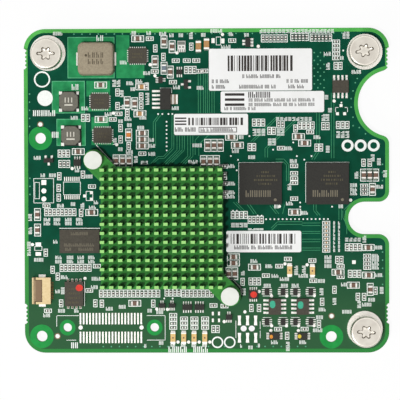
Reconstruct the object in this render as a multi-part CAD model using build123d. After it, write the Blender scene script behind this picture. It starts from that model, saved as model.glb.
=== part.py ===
from build123d import *
import os

# Mezzanine network card, in millimetres. X runs along the board, Y across it, Z up from the sleeve feet.

# Circuit board
BOARD_LENGTH = 112.5
BOARD_WIDTH = 100.0
BOARD_THICKNESS = 1.6
BOARD_CORNER_RADIUS = 6.5
STANDOFF_HEIGHT = 5.0
BOARD_TOP = STANDOFF_HEIGHT + BOARD_THICKNESS
HALF_LENGTH = BOARD_LENGTH / 2
HALF_WIDTH = BOARD_WIDTH / 2

# Layout grid: the parts' places count its steps from the board's middle
GRID_STEPS_ALONG = 2250
GRID_STEPS_ACROSS = 2000


def spot(along, across):
    """The place on the board of a layout grid point."""
    return (along * BOARD_LENGTH / GRID_STEPS_ALONG, across * BOARD_WIDTH / GRID_STEPS_ACROSS)


def spots(points):
    """The places of several layout grid points."""
    return [spot(*point) for point in points]


def run(along, across, step_along, step_across, count):
    """Points in a straight row, from the first one on."""
    return [(along + step_along * i, across + step_across * i) for i in range(count)]


# Round notch and round-ended slot in the right edge
NOTCH_RADIUS = 10.3
NOTCH_OUTSET = 0.75
NOTCH_INSET_Y = 23.2
NOTCH_Y = HALF_WIDTH - NOTCH_INSET_Y
NOTCH_BLEND = 2.5
SLOT_DEPTH = 12.55
SLOT_HEIGHT = 10.0
SLOT_Y = spot(0, -170)[1]
SLOT_BLEND = 3.2

# Stubs where the board was broken out of its panel
STUB_LENGTH = 6.3
STUB_DEPTH = 0.45
STUB_UPPER_Y = HALF_WIDTH - 9.2
STUB_LOWER_Y = -HALF_WIDTH + 12.0
SCALLOP_PITCH = 1.25
SCALLOP_RADIUS = 0.4
SCALLOP_SIDES = 6
SCALLOP_COUNT = 5

# Plain holes
TOOLING_HOLE_DIAMETER = 3.35
TOOLING_HOLES = [
    (-HALF_LENGTH + 5.05, spot(0, 327)[1]),
    (-HALF_LENGTH + 5.25, -HALF_WIDTH + 5.1),
    (spot(769, 0)[0], -HALF_WIDTH + 4.9),
]
HEADER_PEG_DIAMETER = 2.65
HEADER_PEGS = spots([(-861, -844), (-322, -844)])
SOCKET_PEG_DIAMETER = 1.9
SOCKET_PEGS = spots([(228, -852), (278, -852)])

# Heat sink with a square field of tapered pins and two ears on one diagonal
SINK_X, SINK_Y = spot(-270, -225)
SINK_LENGTH = 37.4
SINK_WIDTH = 37.5
SINK_BASE_THICKNESS = 2.6
SINK_EAR_WIDTH = 6.6
SINK_EAR_OUTSET = 2.05
SINK_EAR_OFFSET = SINK_LENGTH / 2 + SINK_EAR_OUTSET
SINK_EAR_HOLE_DIAMETER = 3.2
PIN_COUNT = 14
PIN_ROOT_X = 1.52
PIN_ROOT_Y = 1.12
PIN_MARGIN_X = 0.13
PIN_MARGIN_Y = 0.445
PIN_PITCH_X = (SINK_LENGTH - PIN_ROOT_X - 2 * PIN_MARGIN_X) / (PIN_COUNT - 1)
PIN_PITCH_Y = (SINK_WIDTH - PIN_ROOT_Y - 2 * PIN_MARGIN_Y) / (PIN_COUNT - 1)
PIN_HEIGHT = 7.6
PIN_DRAFT_DEG = 0.8

# Controller under the heat sink
CONTROLLER_SIZE = 27.0
CONTROLLER_HEIGHT = 2.2
THERMAL_PAD_THICKNESS = 0.3
SINK_BOTTOM = BOARD_TOP + CONTROLLER_HEIGHT + THERMAL_PAD_THICKNESS
EAR_TOP = SINK_BOTTOM + SINK_BASE_THICKNESS

# Push pins that hold the heat sink, and their springs
PUSH_HEAD_DIAMETER = 5.5
PUSH_HEAD_HEIGHT = 1.6
PUSH_SHANK_DIAMETER = 2.8
PUSH_HOLE_CLEARANCE = 0.15
PUSH_BARB_WIDTH = 3.4
PUSH_BARB_LENGTH = 2.6
PUSH_BARB_DRAFT_DEG = 22.0
PUSH_BARB_GAP = 0.1
SPRING_HEIGHT = 2.9
SPRING_OUTER_DIAMETER = 4.6
SPRING_INNER_DIAMETER = 3.6
SPRING_SIDES = 8

# Captive screws, loose in flanged sleeves
SCREW_INSET_X = 7.55
SCREW_INSET_Y = 7.45
SLEEVE_FLANGE_DIAMETER = 10.9
SLEEVE_FLANGE_HEIGHT = 1.0
SLEEVE_BARREL_DIAMETER = 8.8
SLEEVE_BORE = 5.2
SLEEVE_HOLE_CLEARANCE = 0.05
SCREW_HEAD_DIAMETER = 9.5
SCREW_HEAD_HEIGHT = 3.0
SCREW_SHANK_DIAMETER = 3.5
SCREW_LIFT = 3.3
SCREW_TIP_HEIGHT = 0.2
RECESS_DEPTH = 1.8
RECESS_REACH = 3.0
RECESS_WAIST = 2.0
RECESS_LOBES = 6
FLANGE_TOP = BOARD_TOP + SLEEVE_FLANGE_HEIGHT
SCREW_HEAD_BOTTOM = FLANGE_TOP + SCREW_LIFT

# Sleeve middles, and how far each loose screw has settled off its sleeve's middle
SCREW_PLACES = {
    "upper_left": (-HALF_LENGTH + SCREW_INSET_X, HALF_WIDTH - SCREW_INSET_Y, 0.0, -0.5),
    "upper_right": (HALF_LENGTH - SCREW_INSET_X, HALF_WIDTH - SCREW_INSET_Y, -0.45, 0.0),
    "lower_right": (HALF_LENGTH - SCREW_INSET_X, -HALF_WIDTH + SCREW_INSET_Y, 0.0, -0.55),
}

# Flat-flex socket at the left edge
FLEX_LEFT = -HALF_LENGTH + 2.45
FLEX_Y = spot(0, -614)[1]
FLEX_LENGTH = 8.2
FLEX_HEIGHT = 2.0
FLEX_HOUSING_DEPTH = 2.6
FLEX_CHEEK_DEPTH = 2.0
FLEX_CHEEK_WIDTH = 0.7
FLEX_LATCH_DEPTH = 3.0
FLEX_LATCH_LIP = 0.8
FLEX_LATCH_HEIGHT = 1.6
FLEX_LATCH_FOOT = 0.2
FLEX_TONGUE_LENGTH = 1.2
FLEX_TONGUE_HEIGHT = 0.5
FLEX_MOUTH_DEPTH = 1.6
FLEX_MOUTH_HEIGHT = 1.1
FLEX_CLEARANCE = 0.15
FLEX_CONTACT_COUNT = 11
FLEX_CONTACT_PITCH = 0.5
FLEX_CONTACT_SIZE = (0.7, 0.25, 0.25)
FLEX_TAB_SIZE = (2.1, 0.85, 0.4)

# Mezzanine connector under the board
MEZZ_LENGTH = 44.0
MEZZ_WIDTH = 18.6
MEZZ_SLEEVE_GAP = 5.3
MEZZ_INSET_Y = 16.0
MEZZ_X = HALF_LENGTH - SCREW_INSET_X - SLEEVE_BARREL_DIAMETER / 2 - MEZZ_SLEEVE_GAP - MEZZ_LENGTH / 2
MEZZ_Y = HALF_WIDTH - MEZZ_INSET_Y
MEZZ_HEIGHT = 4.2
MEZZ_WALL = 1.4
MEZZ_FLOOR = 1.2
MEZZ_KEY = 2.0
MEZZ_ROWS = 7
MEZZ_END_GAP = 1.6
MEZZ_SIDE_GAP = 1.6
MEZZ_ROW_PITCH = (MEZZ_WIDTH - 2 * MEZZ_WALL - 2 * MEZZ_SIDE_GAP) / (MEZZ_ROWS - 1)
MEZZ_RIB_LENGTH = MEZZ_LENGTH - 2 * MEZZ_WALL - 2 * MEZZ_END_GAP
MEZZ_RIB_WIDTH = 0.7
MEZZ_RIB_HEIGHT = 2.6
MEZZ_BLADE_THICKNESS = 0.25
MEZZ_BLADE_HEIGHT = 2.2

# Square and rectangular chips
TRANSCEIVER_SIZE = (13.0, 12.7, 1.5)
TRANSCEIVER_LEFT_PLACE = spot(334, 42)
TRANSCEIVER_RIGHT_PLACE = spot(746, 42)
MEMORY_SIZE = (12.3, 7.2, 1.2)
MEMORY_PLACE = spot(-783, -310)
FLASH_SIZE = (5.7, 7.5, 1.8)
FLASH_PLACE = spot(-818, -634)
FLASH_LEG_REACH = 0.75
POWER_CHIP_SIZE = (5.7, 4.7, 0.9)
POWER_CHIPS = spots([(-421, 833), (-655, 553), (-638, 344)])

# Inductors
CHOKE_LARGE_SIZE = (11.3, 10.2)
CHOKE_LARGE_HEIGHT = 4.0
CHOKE_LARGE_CORNER = 1.0
CHOKE_LARGE_DRAFT_DEG = 4.0
CHOKE_LARGE_PLACE = spot(-676, 814)
CHOKE_FOOT_SIZE = (0.5, 4.0, 0.5)
CHOKE_SMALL_SIZE = 6.2
CHOKE_SMALL_BASE = 0.7
CHOKE_SMALL_HEIGHT = 2.8
CHOKE_SMALL_TOP_SIZE = 5.7
CHOKE_SMALL_CORNER = 1.4
CHOKES_SMALL = spots([(-844, 552), (-832, 342)])

# Five-lead regulator with a metal tab
REGULATOR_PLACE = spot(-250, 564)
REGULATOR_SIZE = (3.2, 6.4, 2.2)
REGULATOR_TAB_SIZE = (2.2, 3.0, 0.6)
REGULATOR_LEG_REACH = 2.4
REGULATOR_LEGS = 5

# Bent legs of the larger chips
LEG_PITCH = 1.27
LEG_WIDTH = 0.42
LEG_THICKNESS = 0.22
LEG_BEND = 0.45
EIGHT_LEAD_BODY_LONG = 4.9
EIGHT_LEAD_BODY_SHORT = 3.8
EIGHT_LEAD_HEIGHT = 1.5
EIGHT_LEAD_REACH = 1.5
EIGHT_LEADS_UP = [spot(826, 638)]
EIGHT_LEADS_ACROSS = spots([(420, -715), (592, -715)])
SIDE_LEGS = 4

# Small chips: layout grid point, body length and width
SMALL_CHIP_HEIGHT = 1.0
SIX_LEAD_BODY = (1.35, 2.0)
SIX_LEAD_ROWS = [-624, -809]
SIX_LEAD_COLUMNS = [372, 471, 547, 642]
SMALL_CHIPS = [
    (-280, 684, 1.3, 2.0), (-164, 732, 1.8, 1.4), (-124, 656, 1.3, 2.9), (258, 912, 1.6, 2.7),
    (-973, 190, 2.9, 1.3), (-796, 176, 2.2, 2.0), (-276, -708, 2.0, 1.3), (-214, -708, 2.0, 1.3),
    (-120, -718, 2.9, 1.7), (-45, -718, 2.9, 1.7), (137, -780, 1.9, 1.6), (288, -640, 2.9, 2.7),
    (418, -897, 3.2, 2.2), (590, -898, 3.0, 2.2),
]

# Lamps and fuse
LAMP_SIZE = (1.5, 3.2, 1.1)
LAMP_INSET_Y = 4.7
LAMPS = [(spot(along, 0)[0], -HALF_WIDTH + LAMP_INSET_Y) for along in (-208, -142, -78, -12)]
LAMPS += spots([(512, -490), (652, -494)])
FUSE_SIZE = (2.4, 3.4, 0.9)
FUSE_PLACE = spot(-150, 888)

# Labels: layout grid point of the left lower corner, length and width
LABEL_THICKNESS = 0.1
LABEL_CORNER = 0.35
LABELS = {
    "label_upper": (18, 616, 31.7, 12.9),
    "label_middle": (90, 482, 31.8, 6.5),
    "label_short": (-198, 344, 22.8, 6.5),
    "label_lower": (122, -380, 23.1, 6.6),
}

# Chip parts: length, width and height
MEDIUM_CHIP = (2.0, 1.25, 0.9)
LARGE_CHIP = (3.2, 1.6, 1.3)

SEATED = (Align.CENTER, Align.CENTER, Align.MIN)
HUNG = (Align.CENTER, Align.CENTER, Align.MAX)


# Layout grid points of the chip parts, lying along X and standing along Y
MEDIUM_CAPACITORS_X = [
    (-420, 938), (-650, 654), (-648, 442), (-790, 244), *run(-394, 356, 0, -39, 3), (156, 330),
    (192, 280), (568, 332), (606, 292), (-708, -132), (544, -133), (296, -472), (166, -408),
    (166, -446), (996, -352), (810, -504), (998, -522), (904, -584), (-444, -694),
]
MEDIUM_CAPACITORS_Y = [
    (-258, 918), (-208, 888), (-314, 796), (-258, 756), (-220, 732), (-486, 544), (-440, 538),
    (-478, 346), *run(-556, 186, 40, 0, 3), *run(9, 280, 39, 0, 3), *run(-17, 180, 40, 0, 3),
    *run(968, 94, 37, 0, 3), (1022, 6), (-1044, -144), (-1044, -240),
    (136, -512), (174, -512), (1008, -610),
]
TAN_CAPACITORS_X = [(-396, 642), (-408, 476)]
LARGE_CAPACITORS_Y = [(-46, 888), (4, 902)]


def block(place, size, z=BOARD_TOP):
    """A plain block that stands at height z."""
    return Pos(place[0], place[1], z) * Box(*size, align=SEATED)


def chips(points_x, points_y, size):
    """Chip parts on the board, some lying along X and some along Y."""
    length, width, height = size
    along_x = [block(place, (length, width, height)) for place in spots(points_x)]
    along_y = [block(place, (width, length, height)) for place in spots(points_y)]
    return along_x + along_y


def upright(place, z, diameter, height):
    """A round bar that stands at height z."""
    return Pos(place[0], place[1], z) * Cylinder(diameter / 2, height, align=SEATED)


def ear_places():
    """The two heat-sink ears' hole middles on the board."""
    return [
        (SINK_X - SINK_EAR_OFFSET, SINK_Y + SINK_EAR_OFFSET),
        (SINK_X + SINK_EAR_OFFSET, SINK_Y - SINK_EAR_OFFSET),
    ]


def stub_cut(side, y):
    """The stepped, scalloped bite that one broken panel stub leaves in the board's left or right edge."""
    edge = side * (HALF_LENGTH - STUB_DEPTH)
    bite = Pos(side * HALF_LENGTH, y) * Rectangle(2 * STUB_DEPTH, STUB_LENGTH)
    first = y - SCALLOP_PITCH * (SCALLOP_COUNT - 1) / 2
    for i in range(SCALLOP_COUNT):
        bite += Pos(edge, first + SCALLOP_PITCH * i) * RegularPolygon(SCALLOP_RADIUS, SCALLOP_SIDES)
    return bite


def circuit_board():
    """The laminate with its edge cut-outs and plain holes."""
    outline = RectangleRounded(BOARD_LENGTH, BOARD_WIDTH, BOARD_CORNER_RADIUS)
    outline -= Pos(HALF_LENGTH + NOTCH_OUTSET, NOTCH_Y) * Circle(NOTCH_RADIUS)
    slot_end = HALF_LENGTH - SLOT_DEPTH + SLOT_HEIGHT / 2
    slot_run = BOARD_LENGTH - slot_end
    outline -= Pos(slot_end + slot_run / 2, SLOT_Y) * Rectangle(slot_run, SLOT_HEIGHT)
    outline -= Pos(slot_end, SLOT_Y) * Circle(SLOT_HEIGHT / 2)
    board = Pos(0, 0, STANDOFF_HEIGHT) * extrude(outline, BOARD_THICKNESS)

    def at_mouth(edge, middle, half):
        place = edge.center()
        on_edge = abs(place.X - HALF_LENGTH) < 0.01
        return on_edge and abs(abs(place.Y - middle) - half) < 0.5

    uprights = board.edges().filter_by(Axis.Z)
    notch_mouth = [edge for edge in uprights if at_mouth(edge, NOTCH_Y, NOTCH_RADIUS)]
    board = fillet(notch_mouth, NOTCH_BLEND)
    uprights = board.edges().filter_by(Axis.Z)
    slot_mouth = [edge for edge in uprights if at_mouth(edge, SLOT_Y, SLOT_HEIGHT / 2)]
    board = fillet(slot_mouth, SLOT_BLEND)

    cuts = Sketch()
    for side in (-1, 1):
        for y in (STUB_UPPER_Y, STUB_LOWER_Y):
            cuts += stub_cut(side, y)
    holes = [(place, TOOLING_HOLE_DIAMETER) for place in TOOLING_HOLES]
    holes += [(place, HEADER_PEG_DIAMETER) for place in HEADER_PEGS]
    holes += [(place, SOCKET_PEG_DIAMETER) for place in SOCKET_PEGS]
    holes += [(place, PUSH_SHANK_DIAMETER + 2 * PUSH_HOLE_CLEARANCE) for place in ear_places()]
    sleeve_hole = SLEEVE_BARREL_DIAMETER + 2 * SLEEVE_HOLE_CLEARANCE
    holes += [(place[:2], sleeve_hole) for place in SCREW_PLACES.values()]
    for place, diameter in holes:
        cuts += Pos(*place) * Circle(diameter / 2)
    return board - Pos(0, 0, STANDOFF_HEIGHT) * extrude(cuts, BOARD_THICKNESS)


def heat_sink():
    """Eared base plate with its field of tapered pins, all one piece."""
    ear_span = 2 * SINK_EAR_OFFSET * 2 ** 0.5
    outline = Rectangle(SINK_LENGTH, SINK_WIDTH)
    outline += Rot(0, 0, -45) * SlotCenterToCenter(ear_span, SINK_EAR_WIDTH)
    for place in ear_places():
        outline -= Pos(place[0] - SINK_X, place[1] - SINK_Y) * Circle(SINK_EAR_HOLE_DIAMETER / 2)
    base = extrude(outline, SINK_BASE_THICKNESS)
    pin = extrude(Rectangle(PIN_ROOT_X, PIN_ROOT_Y), PIN_HEIGHT, taper=PIN_DRAFT_DEG)
    grid = GridLocations(PIN_PITCH_X, PIN_PITCH_Y, PIN_COUNT, PIN_COUNT)
    pins = [Pos(0, 0, SINK_BASE_THICKNESS) * place * pin for place in grid]
    return Pos(SINK_X, SINK_Y, SINK_BOTTOM) * base.fuse(*pins)


def push_pin(place):
    """Headed plastic pin that passes through an ear and the board and snaps under it with a tapered barb."""
    head_bottom = EAR_TOP + SPRING_HEIGHT
    barb_top = STANDOFF_HEIGHT - PUSH_BARB_GAP
    pin = upright(place, head_bottom, PUSH_HEAD_DIAMETER, PUSH_HEAD_HEIGHT)
    pin += upright(place, barb_top, PUSH_SHANK_DIAMETER, head_bottom - barb_top)
    barb = extrude(Rectangle(PUSH_BARB_WIDTH, PUSH_BARB_WIDTH), PUSH_BARB_LENGTH, taper=PUSH_BARB_DRAFT_DEG)
    return pin + Pos(*place, barb_top) * Rot(180, 0, 0) * barb


def push_pin_spring(place):
    """The space that the coil spring fills between an ear and its push pin's head."""
    section = RegularPolygon(SPRING_OUTER_DIAMETER / 2, SPRING_SIDES)
    section -= RegularPolygon(SPRING_INNER_DIAMETER / 2, SPRING_SIDES)
    return Pos(*place, EAR_TOP) * extrude(section, SPRING_HEIGHT)


def screw_sleeve(place):
    """Flanged sleeve pressed through the board, standing on the board below."""
    sleeve = upright(place, BOARD_TOP, SLEEVE_FLANGE_DIAMETER, SLEEVE_FLANGE_HEIGHT)
    sleeve += upright(place, 0, SLEEVE_BARREL_DIAMETER, BOARD_TOP)
    return sleeve - upright(place, 0, SLEEVE_BORE, FLANGE_TOP)


def captive_screw(place):
    """Loose flat-headed screw with a six-pointed recess, settled a little off its sleeve's middle."""
    middle = (place[0] + place[2], place[1] + place[3])
    screw = upright(middle, SCREW_HEAD_BOTTOM, SCREW_HEAD_DIAMETER, SCREW_HEAD_HEIGHT)
    screw += upright(middle, SCREW_TIP_HEIGHT, SCREW_SHANK_DIAMETER, SCREW_HEAD_BOTTOM - SCREW_TIP_HEIGHT)
    points = [Vector(RECESS_REACH if i % 2 else RECESS_WAIST, 0).rotate(Axis.Z, 180 * i / RECESS_LOBES)
              for i in range(2 * RECESS_LOBES)]
    recess = extrude(make_face(Polyline(*points, close=True)), RECESS_DEPTH)
    head_top = SCREW_HEAD_BOTTOM + SCREW_HEAD_HEIGHT
    return screw - Pos(*middle, head_top - RECESS_DEPTH) * recess


def flex_housing():
    """Flat-flex socket housing with a mouth on its left and a cheek at each end."""
    right = FLEX_LEFT + FLEX_LATCH_DEPTH + FLEX_CLEARANCE + FLEX_HOUSING_DEPTH
    left = right - FLEX_HOUSING_DEPTH
    body = block((left + FLEX_HOUSING_DEPTH / 2, FLEX_Y), (FLEX_HOUSING_DEPTH, FLEX_LENGTH, FLEX_HEIGHT))
    for side in (-1, 1):
        y = FLEX_Y + side * (FLEX_LENGTH - FLEX_CHEEK_WIDTH) / 2
        body += block((left - FLEX_CHEEK_DEPTH / 2, y), (FLEX_CHEEK_DEPTH, FLEX_CHEEK_WIDTH, FLEX_HEIGHT))
    mouth_width = FLEX_LENGTH - 2 * FLEX_CHEEK_WIDTH
    mouth_z = BOARD_TOP + (FLEX_HEIGHT - FLEX_MOUTH_HEIGHT) / 2
    mouth_size = (FLEX_MOUTH_DEPTH, mouth_width, FLEX_MOUTH_HEIGHT)
    return body - block((left + FLEX_MOUTH_DEPTH / 2, FLEX_Y), mouth_size, mouth_z)


def flex_latch():
    """Sliding latch: a wide lip, a body between the cheeks and a thin tongue in the housing's mouth."""
    inner = FLEX_LENGTH - 2 * FLEX_CHEEK_WIDTH - 2 * FLEX_CLEARANCE
    lip_x = FLEX_LEFT + FLEX_LATCH_LIP / 2
    bottom = BOARD_TOP + FLEX_LATCH_FOOT
    latch = block((lip_x, FLEX_Y), (FLEX_LATCH_LIP, FLEX_LENGTH, FLEX_LATCH_HEIGHT), bottom)
    body_x = FLEX_LEFT + FLEX_LATCH_DEPTH / 2
    latch += block((body_x, FLEX_Y), (FLEX_LATCH_DEPTH, inner, FLEX_LATCH_HEIGHT), bottom)
    tongue_x = FLEX_LEFT + FLEX_LATCH_DEPTH + FLEX_TONGUE_LENGTH / 2
    tongue_z = BOARD_TOP + (FLEX_HEIGHT - FLEX_TONGUE_HEIGHT) / 2
    return latch + block((tongue_x, FLEX_Y), (FLEX_TONGUE_LENGTH, inner, FLEX_TONGUE_HEIGHT), tongue_z)


def flex_contacts():
    """Contact tails along the socket's right side."""
    x = FLEX_LEFT + FLEX_LATCH_DEPTH + FLEX_CLEARANCE + FLEX_HOUSING_DEPTH + FLEX_CONTACT_SIZE[0] / 2
    first = FLEX_Y - FLEX_CONTACT_PITCH * (FLEX_CONTACT_COUNT - 1) / 2
    return [block(place, FLEX_CONTACT_SIZE) for place in run(x, first, 0, FLEX_CONTACT_PITCH, FLEX_CONTACT_COUNT)]


def flex_tabs():
    """Soldered hold-down tabs at the socket's two ends."""
    x = FLEX_LEFT + FLEX_LATCH_DEPTH
    reach = (FLEX_LENGTH + FLEX_TAB_SIZE[1]) / 2
    return [block((x, FLEX_Y + side * reach), FLEX_TAB_SIZE) for side in (-1, 1)]


def hung(x, y, size, z=STANDOFF_HEIGHT):
    """A plain block that hangs down from height z."""
    return Pos(x, y, z) * Box(*size, align=HUNG)


def mezzanine_rows():
    """Middles across the board of the connector's contact ribs."""
    first = MEZZ_Y - MEZZ_ROW_PITCH * (MEZZ_ROWS - 1) / 2
    return [first + MEZZ_ROW_PITCH * i for i in range(MEZZ_ROWS)]


def mezzanine_housing():
    """Walled connector block under the board, with long contact ribs and one cut corner as its key."""
    outline = Rectangle(MEZZ_LENGTH, MEZZ_WIDTH)
    corner = outline.vertices().sort_by(Axis.X)[-2:].sort_by(Axis.Y)[0]
    outline = chamfer(corner, MEZZ_KEY)
    body = Pos(MEZZ_X, MEZZ_Y, STANDOFF_HEIGHT - MEZZ_HEIGHT) * extrude(outline, MEZZ_HEIGHT)
    floor = STANDOFF_HEIGHT - MEZZ_FLOOR
    body -= hung(MEZZ_X, MEZZ_Y, (MEZZ_LENGTH - 2 * MEZZ_WALL, MEZZ_WIDTH - 2 * MEZZ_WALL, MEZZ_HEIGHT), floor)
    for y in mezzanine_rows():
        body += hung(MEZZ_X, y, (MEZZ_RIB_LENGTH, MEZZ_RIB_WIDTH, MEZZ_RIB_HEIGHT), floor)
    return body


def mezzanine_contacts():
    """One long contact strip against each rib's side."""
    floor = STANDOFF_HEIGHT - MEZZ_FLOOR
    offset = (MEZZ_RIB_WIDTH + MEZZ_BLADE_THICKNESS) / 2
    size = (MEZZ_RIB_LENGTH, MEZZ_BLADE_THICKNESS, MEZZ_BLADE_HEIGHT)
    return [hung(MEZZ_X, y + offset, size, floor) for y in mezzanine_rows()]


def bent_leg(reach, shoulder):
    """One bent leg that runs down and out along X from a chip's side to its foot on the board."""
    bend = reach * LEG_BEND
    section = make_face(Polyline(
        (0, shoulder), (bend, shoulder), (bend + LEG_THICKNESS, LEG_THICKNESS), (reach, LEG_THICKNESS),
        (reach, 0), (bend, 0), (bend - LEG_THICKNESS, shoulder - LEG_THICKNESS),
        (0, shoulder - LEG_THICKNESS), close=True,
    ))
    return extrude(Plane.XZ * section, LEG_WIDTH / 2, both=True)


def bent_legs(place, turn, half, reach, height, count):
    """A row of bent legs along one side of a chip; turn is the way that the side faces, in degrees."""
    leg = bent_leg(reach, height / 2 + LEG_THICKNESS / 2)
    first = -LEG_PITCH * (count - 1) / 2
    side = Pos(place[0], place[1], BOARD_TOP) * Rot(0, 0, turn)
    return [side * Pos(half, first + LEG_PITCH * i, 0) * leg for i in range(count)]


def six_lead_chips():
    """The eight six-lead chips above and below the pair of eight-lead ones."""
    return [(along, across, *SIX_LEAD_BODY) for across in SIX_LEAD_ROWS for along in SIX_LEAD_COLUMNS]


def eight_lead_chips():
    """Bodies of the eight-lead chips."""
    up = (EIGHT_LEAD_BODY_LONG, EIGHT_LEAD_BODY_SHORT, EIGHT_LEAD_HEIGHT)
    across = (EIGHT_LEAD_BODY_SHORT, EIGHT_LEAD_BODY_LONG, EIGHT_LEAD_HEIGHT)
    return [block(place, up) for place in EIGHT_LEADS_UP] + [block(place, across) for place in EIGHT_LEADS_ACROSS]


def eight_lead_legs():
    """Bent legs of the eight-lead chips."""
    half = EIGHT_LEAD_BODY_SHORT / 2
    legs = []
    for places, turns in ((EIGHT_LEADS_UP, (90, 270)), (EIGHT_LEADS_ACROSS, (0, 180))):
        for place in places:
            for turn in turns:
                legs += bent_legs(place, turn, half, EIGHT_LEAD_REACH, EIGHT_LEAD_HEIGHT, SIDE_LEGS)
    return legs


def flash_legs():
    """Bent legs at the wide memory chip's upper and lower ends."""
    half = FLASH_SIZE[1] / 2
    legs = []
    for turn in (90, 270):
        legs += bent_legs(FLASH_PLACE, turn, half, FLASH_LEG_REACH, FLASH_SIZE[2], SIDE_LEGS)
    return legs


def choke_large():
    """Large moulded inductor with sides that lean in."""
    outline = Rectangle(*CHOKE_LARGE_SIZE)
    outline = chamfer(outline.vertices(), CHOKE_LARGE_CORNER)
    body = extrude(outline, CHOKE_LARGE_HEIGHT, taper=CHOKE_LARGE_DRAFT_DEG)
    return Pos(*CHOKE_LARGE_PLACE, BOARD_TOP) * body


def choke_large_feet():
    """Soldered feet at the large inductor's left and right."""
    x, y = CHOKE_LARGE_PLACE
    reach = (CHOKE_LARGE_SIZE[0] + CHOKE_FOOT_SIZE[0]) / 2
    return [block((x + side * reach, y), CHOKE_FOOT_SIZE) for side in (-1, 1)]


def choke_small(place):
    """Small inductor: a square base under an eight-sided top."""
    top = Rectangle(CHOKE_SMALL_TOP_SIZE, CHOKE_SMALL_TOP_SIZE)
    top = chamfer(top.vertices(), CHOKE_SMALL_CORNER)
    body = block(place, (CHOKE_SMALL_SIZE, CHOKE_SMALL_SIZE, CHOKE_SMALL_BASE))
    return body + Pos(*place, BOARD_TOP) * extrude(top, CHOKE_SMALL_HEIGHT)


def regulator_tab():
    """The regulator's soldered metal tab."""
    x, y = REGULATOR_PLACE
    return block((x + (REGULATOR_SIZE[0] + REGULATOR_TAB_SIZE[0]) / 2, y), REGULATOR_TAB_SIZE)


def regulator_legs():
    """The regulator's bent legs, opposite its tab."""
    half = REGULATOR_SIZE[0] / 2
    return bent_legs(REGULATOR_PLACE, 180, half, REGULATOR_LEG_REACH, REGULATOR_SIZE[2], REGULATOR_LEGS)


def label(along, across, length, width):
    """A thin paper label on the board."""
    outline = Rectangle(length, width)
    sheet = extrude(chamfer(outline.vertices(), LABEL_CORNER), LABEL_THICKNESS)
    left, bottom = spot(along, across)
    return Pos(left + length / 2, bottom + width / 2, BOARD_TOP) * sheet


def all_nodes():
    """Every piece of the card by its node name."""
    small = [(spot(*chip[:2]), (chip[2], chip[3], SMALL_CHIP_HEIGHT)) for chip in SMALL_CHIPS]
    six = [(spot(*chip[:2]), (chip[2], chip[3], SMALL_CHIP_HEIGHT)) for chip in six_lead_chips()]
    pad_size = (CONTROLLER_SIZE, CONTROLLER_SIZE, THERMAL_PAD_THICKNESS)
    controller_size = (CONTROLLER_SIZE, CONTROLLER_SIZE, CONTROLLER_HEIGHT)
    nodes = {
        "circuit_board": [circuit_board()],
        "heat_sink": [heat_sink()],
        "thermal_pad": [block((SINK_X, SINK_Y), pad_size, BOARD_TOP + CONTROLLER_HEIGHT)],
        "controller_chip": [block((SINK_X, SINK_Y), controller_size)],
        "push_pins": [push_pin(place) for place in ear_places()],
        "push_pin_springs": [push_pin_spring(place) for place in ear_places()],
        "transceiver_left": [block(TRANSCEIVER_LEFT_PLACE, TRANSCEIVER_SIZE)],
        "transceiver_right": [block(TRANSCEIVER_RIGHT_PLACE, TRANSCEIVER_SIZE)],
        "memory_chip": [block(MEMORY_PLACE, MEMORY_SIZE)],
        "flash_chip": [block(FLASH_PLACE, FLASH_SIZE)],
        "flash_legs": flash_legs(),
        "power_chips": [block(place, POWER_CHIP_SIZE) for place in POWER_CHIPS],
        "choke_large": [choke_large()],
        "choke_large_feet": choke_large_feet(),
        "chokes_small": [choke_small(place) for place in CHOKES_SMALL],
        "regulator_body": [block(REGULATOR_PLACE, REGULATOR_SIZE)],
        "regulator_tab": [regulator_tab()],
        "regulator_legs": regulator_legs(),
        "eight_lead_chips": eight_lead_chips(),
        "eight_lead_legs": eight_lead_legs(),
        "six_lead_chips": [block(*chip) for chip in six],
        "small_chips": [block(*chip) for chip in small],
        "lamps": [block(place, LAMP_SIZE) for place in LAMPS],
        "fuse": [block(FUSE_PLACE, FUSE_SIZE)],
        "flex_housing": [flex_housing()],
        "flex_latch": [flex_latch()],
        "flex_contacts": flex_contacts(),
        "flex_tabs": flex_tabs(),
        "mezzanine_housing": [mezzanine_housing()],
        "mezzanine_contacts": mezzanine_contacts(),
        "screw_sleeves": [screw_sleeve(place) for place in SCREW_PLACES.values()],
        "medium_capacitors": chips(MEDIUM_CAPACITORS_X, MEDIUM_CAPACITORS_Y, MEDIUM_CHIP),
        "tan_capacitors": chips(TAN_CAPACITORS_X, [], MEDIUM_CHIP),
        "large_capacitors": chips([], LARGE_CAPACITORS_Y, LARGE_CHIP),
    }
    for corner, place in SCREW_PLACES.items():
        nodes["captive_screw_" + corner] = [captive_screw(place)]
    for name, place in LABELS.items():
        nodes[name] = [label(*place)]
    return nodes


os.makedirs("parts", exist_ok=True)
for node, solids in all_nodes().items():
    shape = solids[0] if len(solids) == 1 else Compound(children=solids)
    export_step(shape, os.path.join("parts", node + ".step"))
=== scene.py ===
"""Dresses a mezzanine network card with board print, chip parts, solder and finishes, in a plain studio."""

import logging
import math
import random
from collections.abc import Sequence
from dataclasses import dataclass, field
from enum import Enum

import bpy
from mathutils import Matrix, Vector

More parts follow.
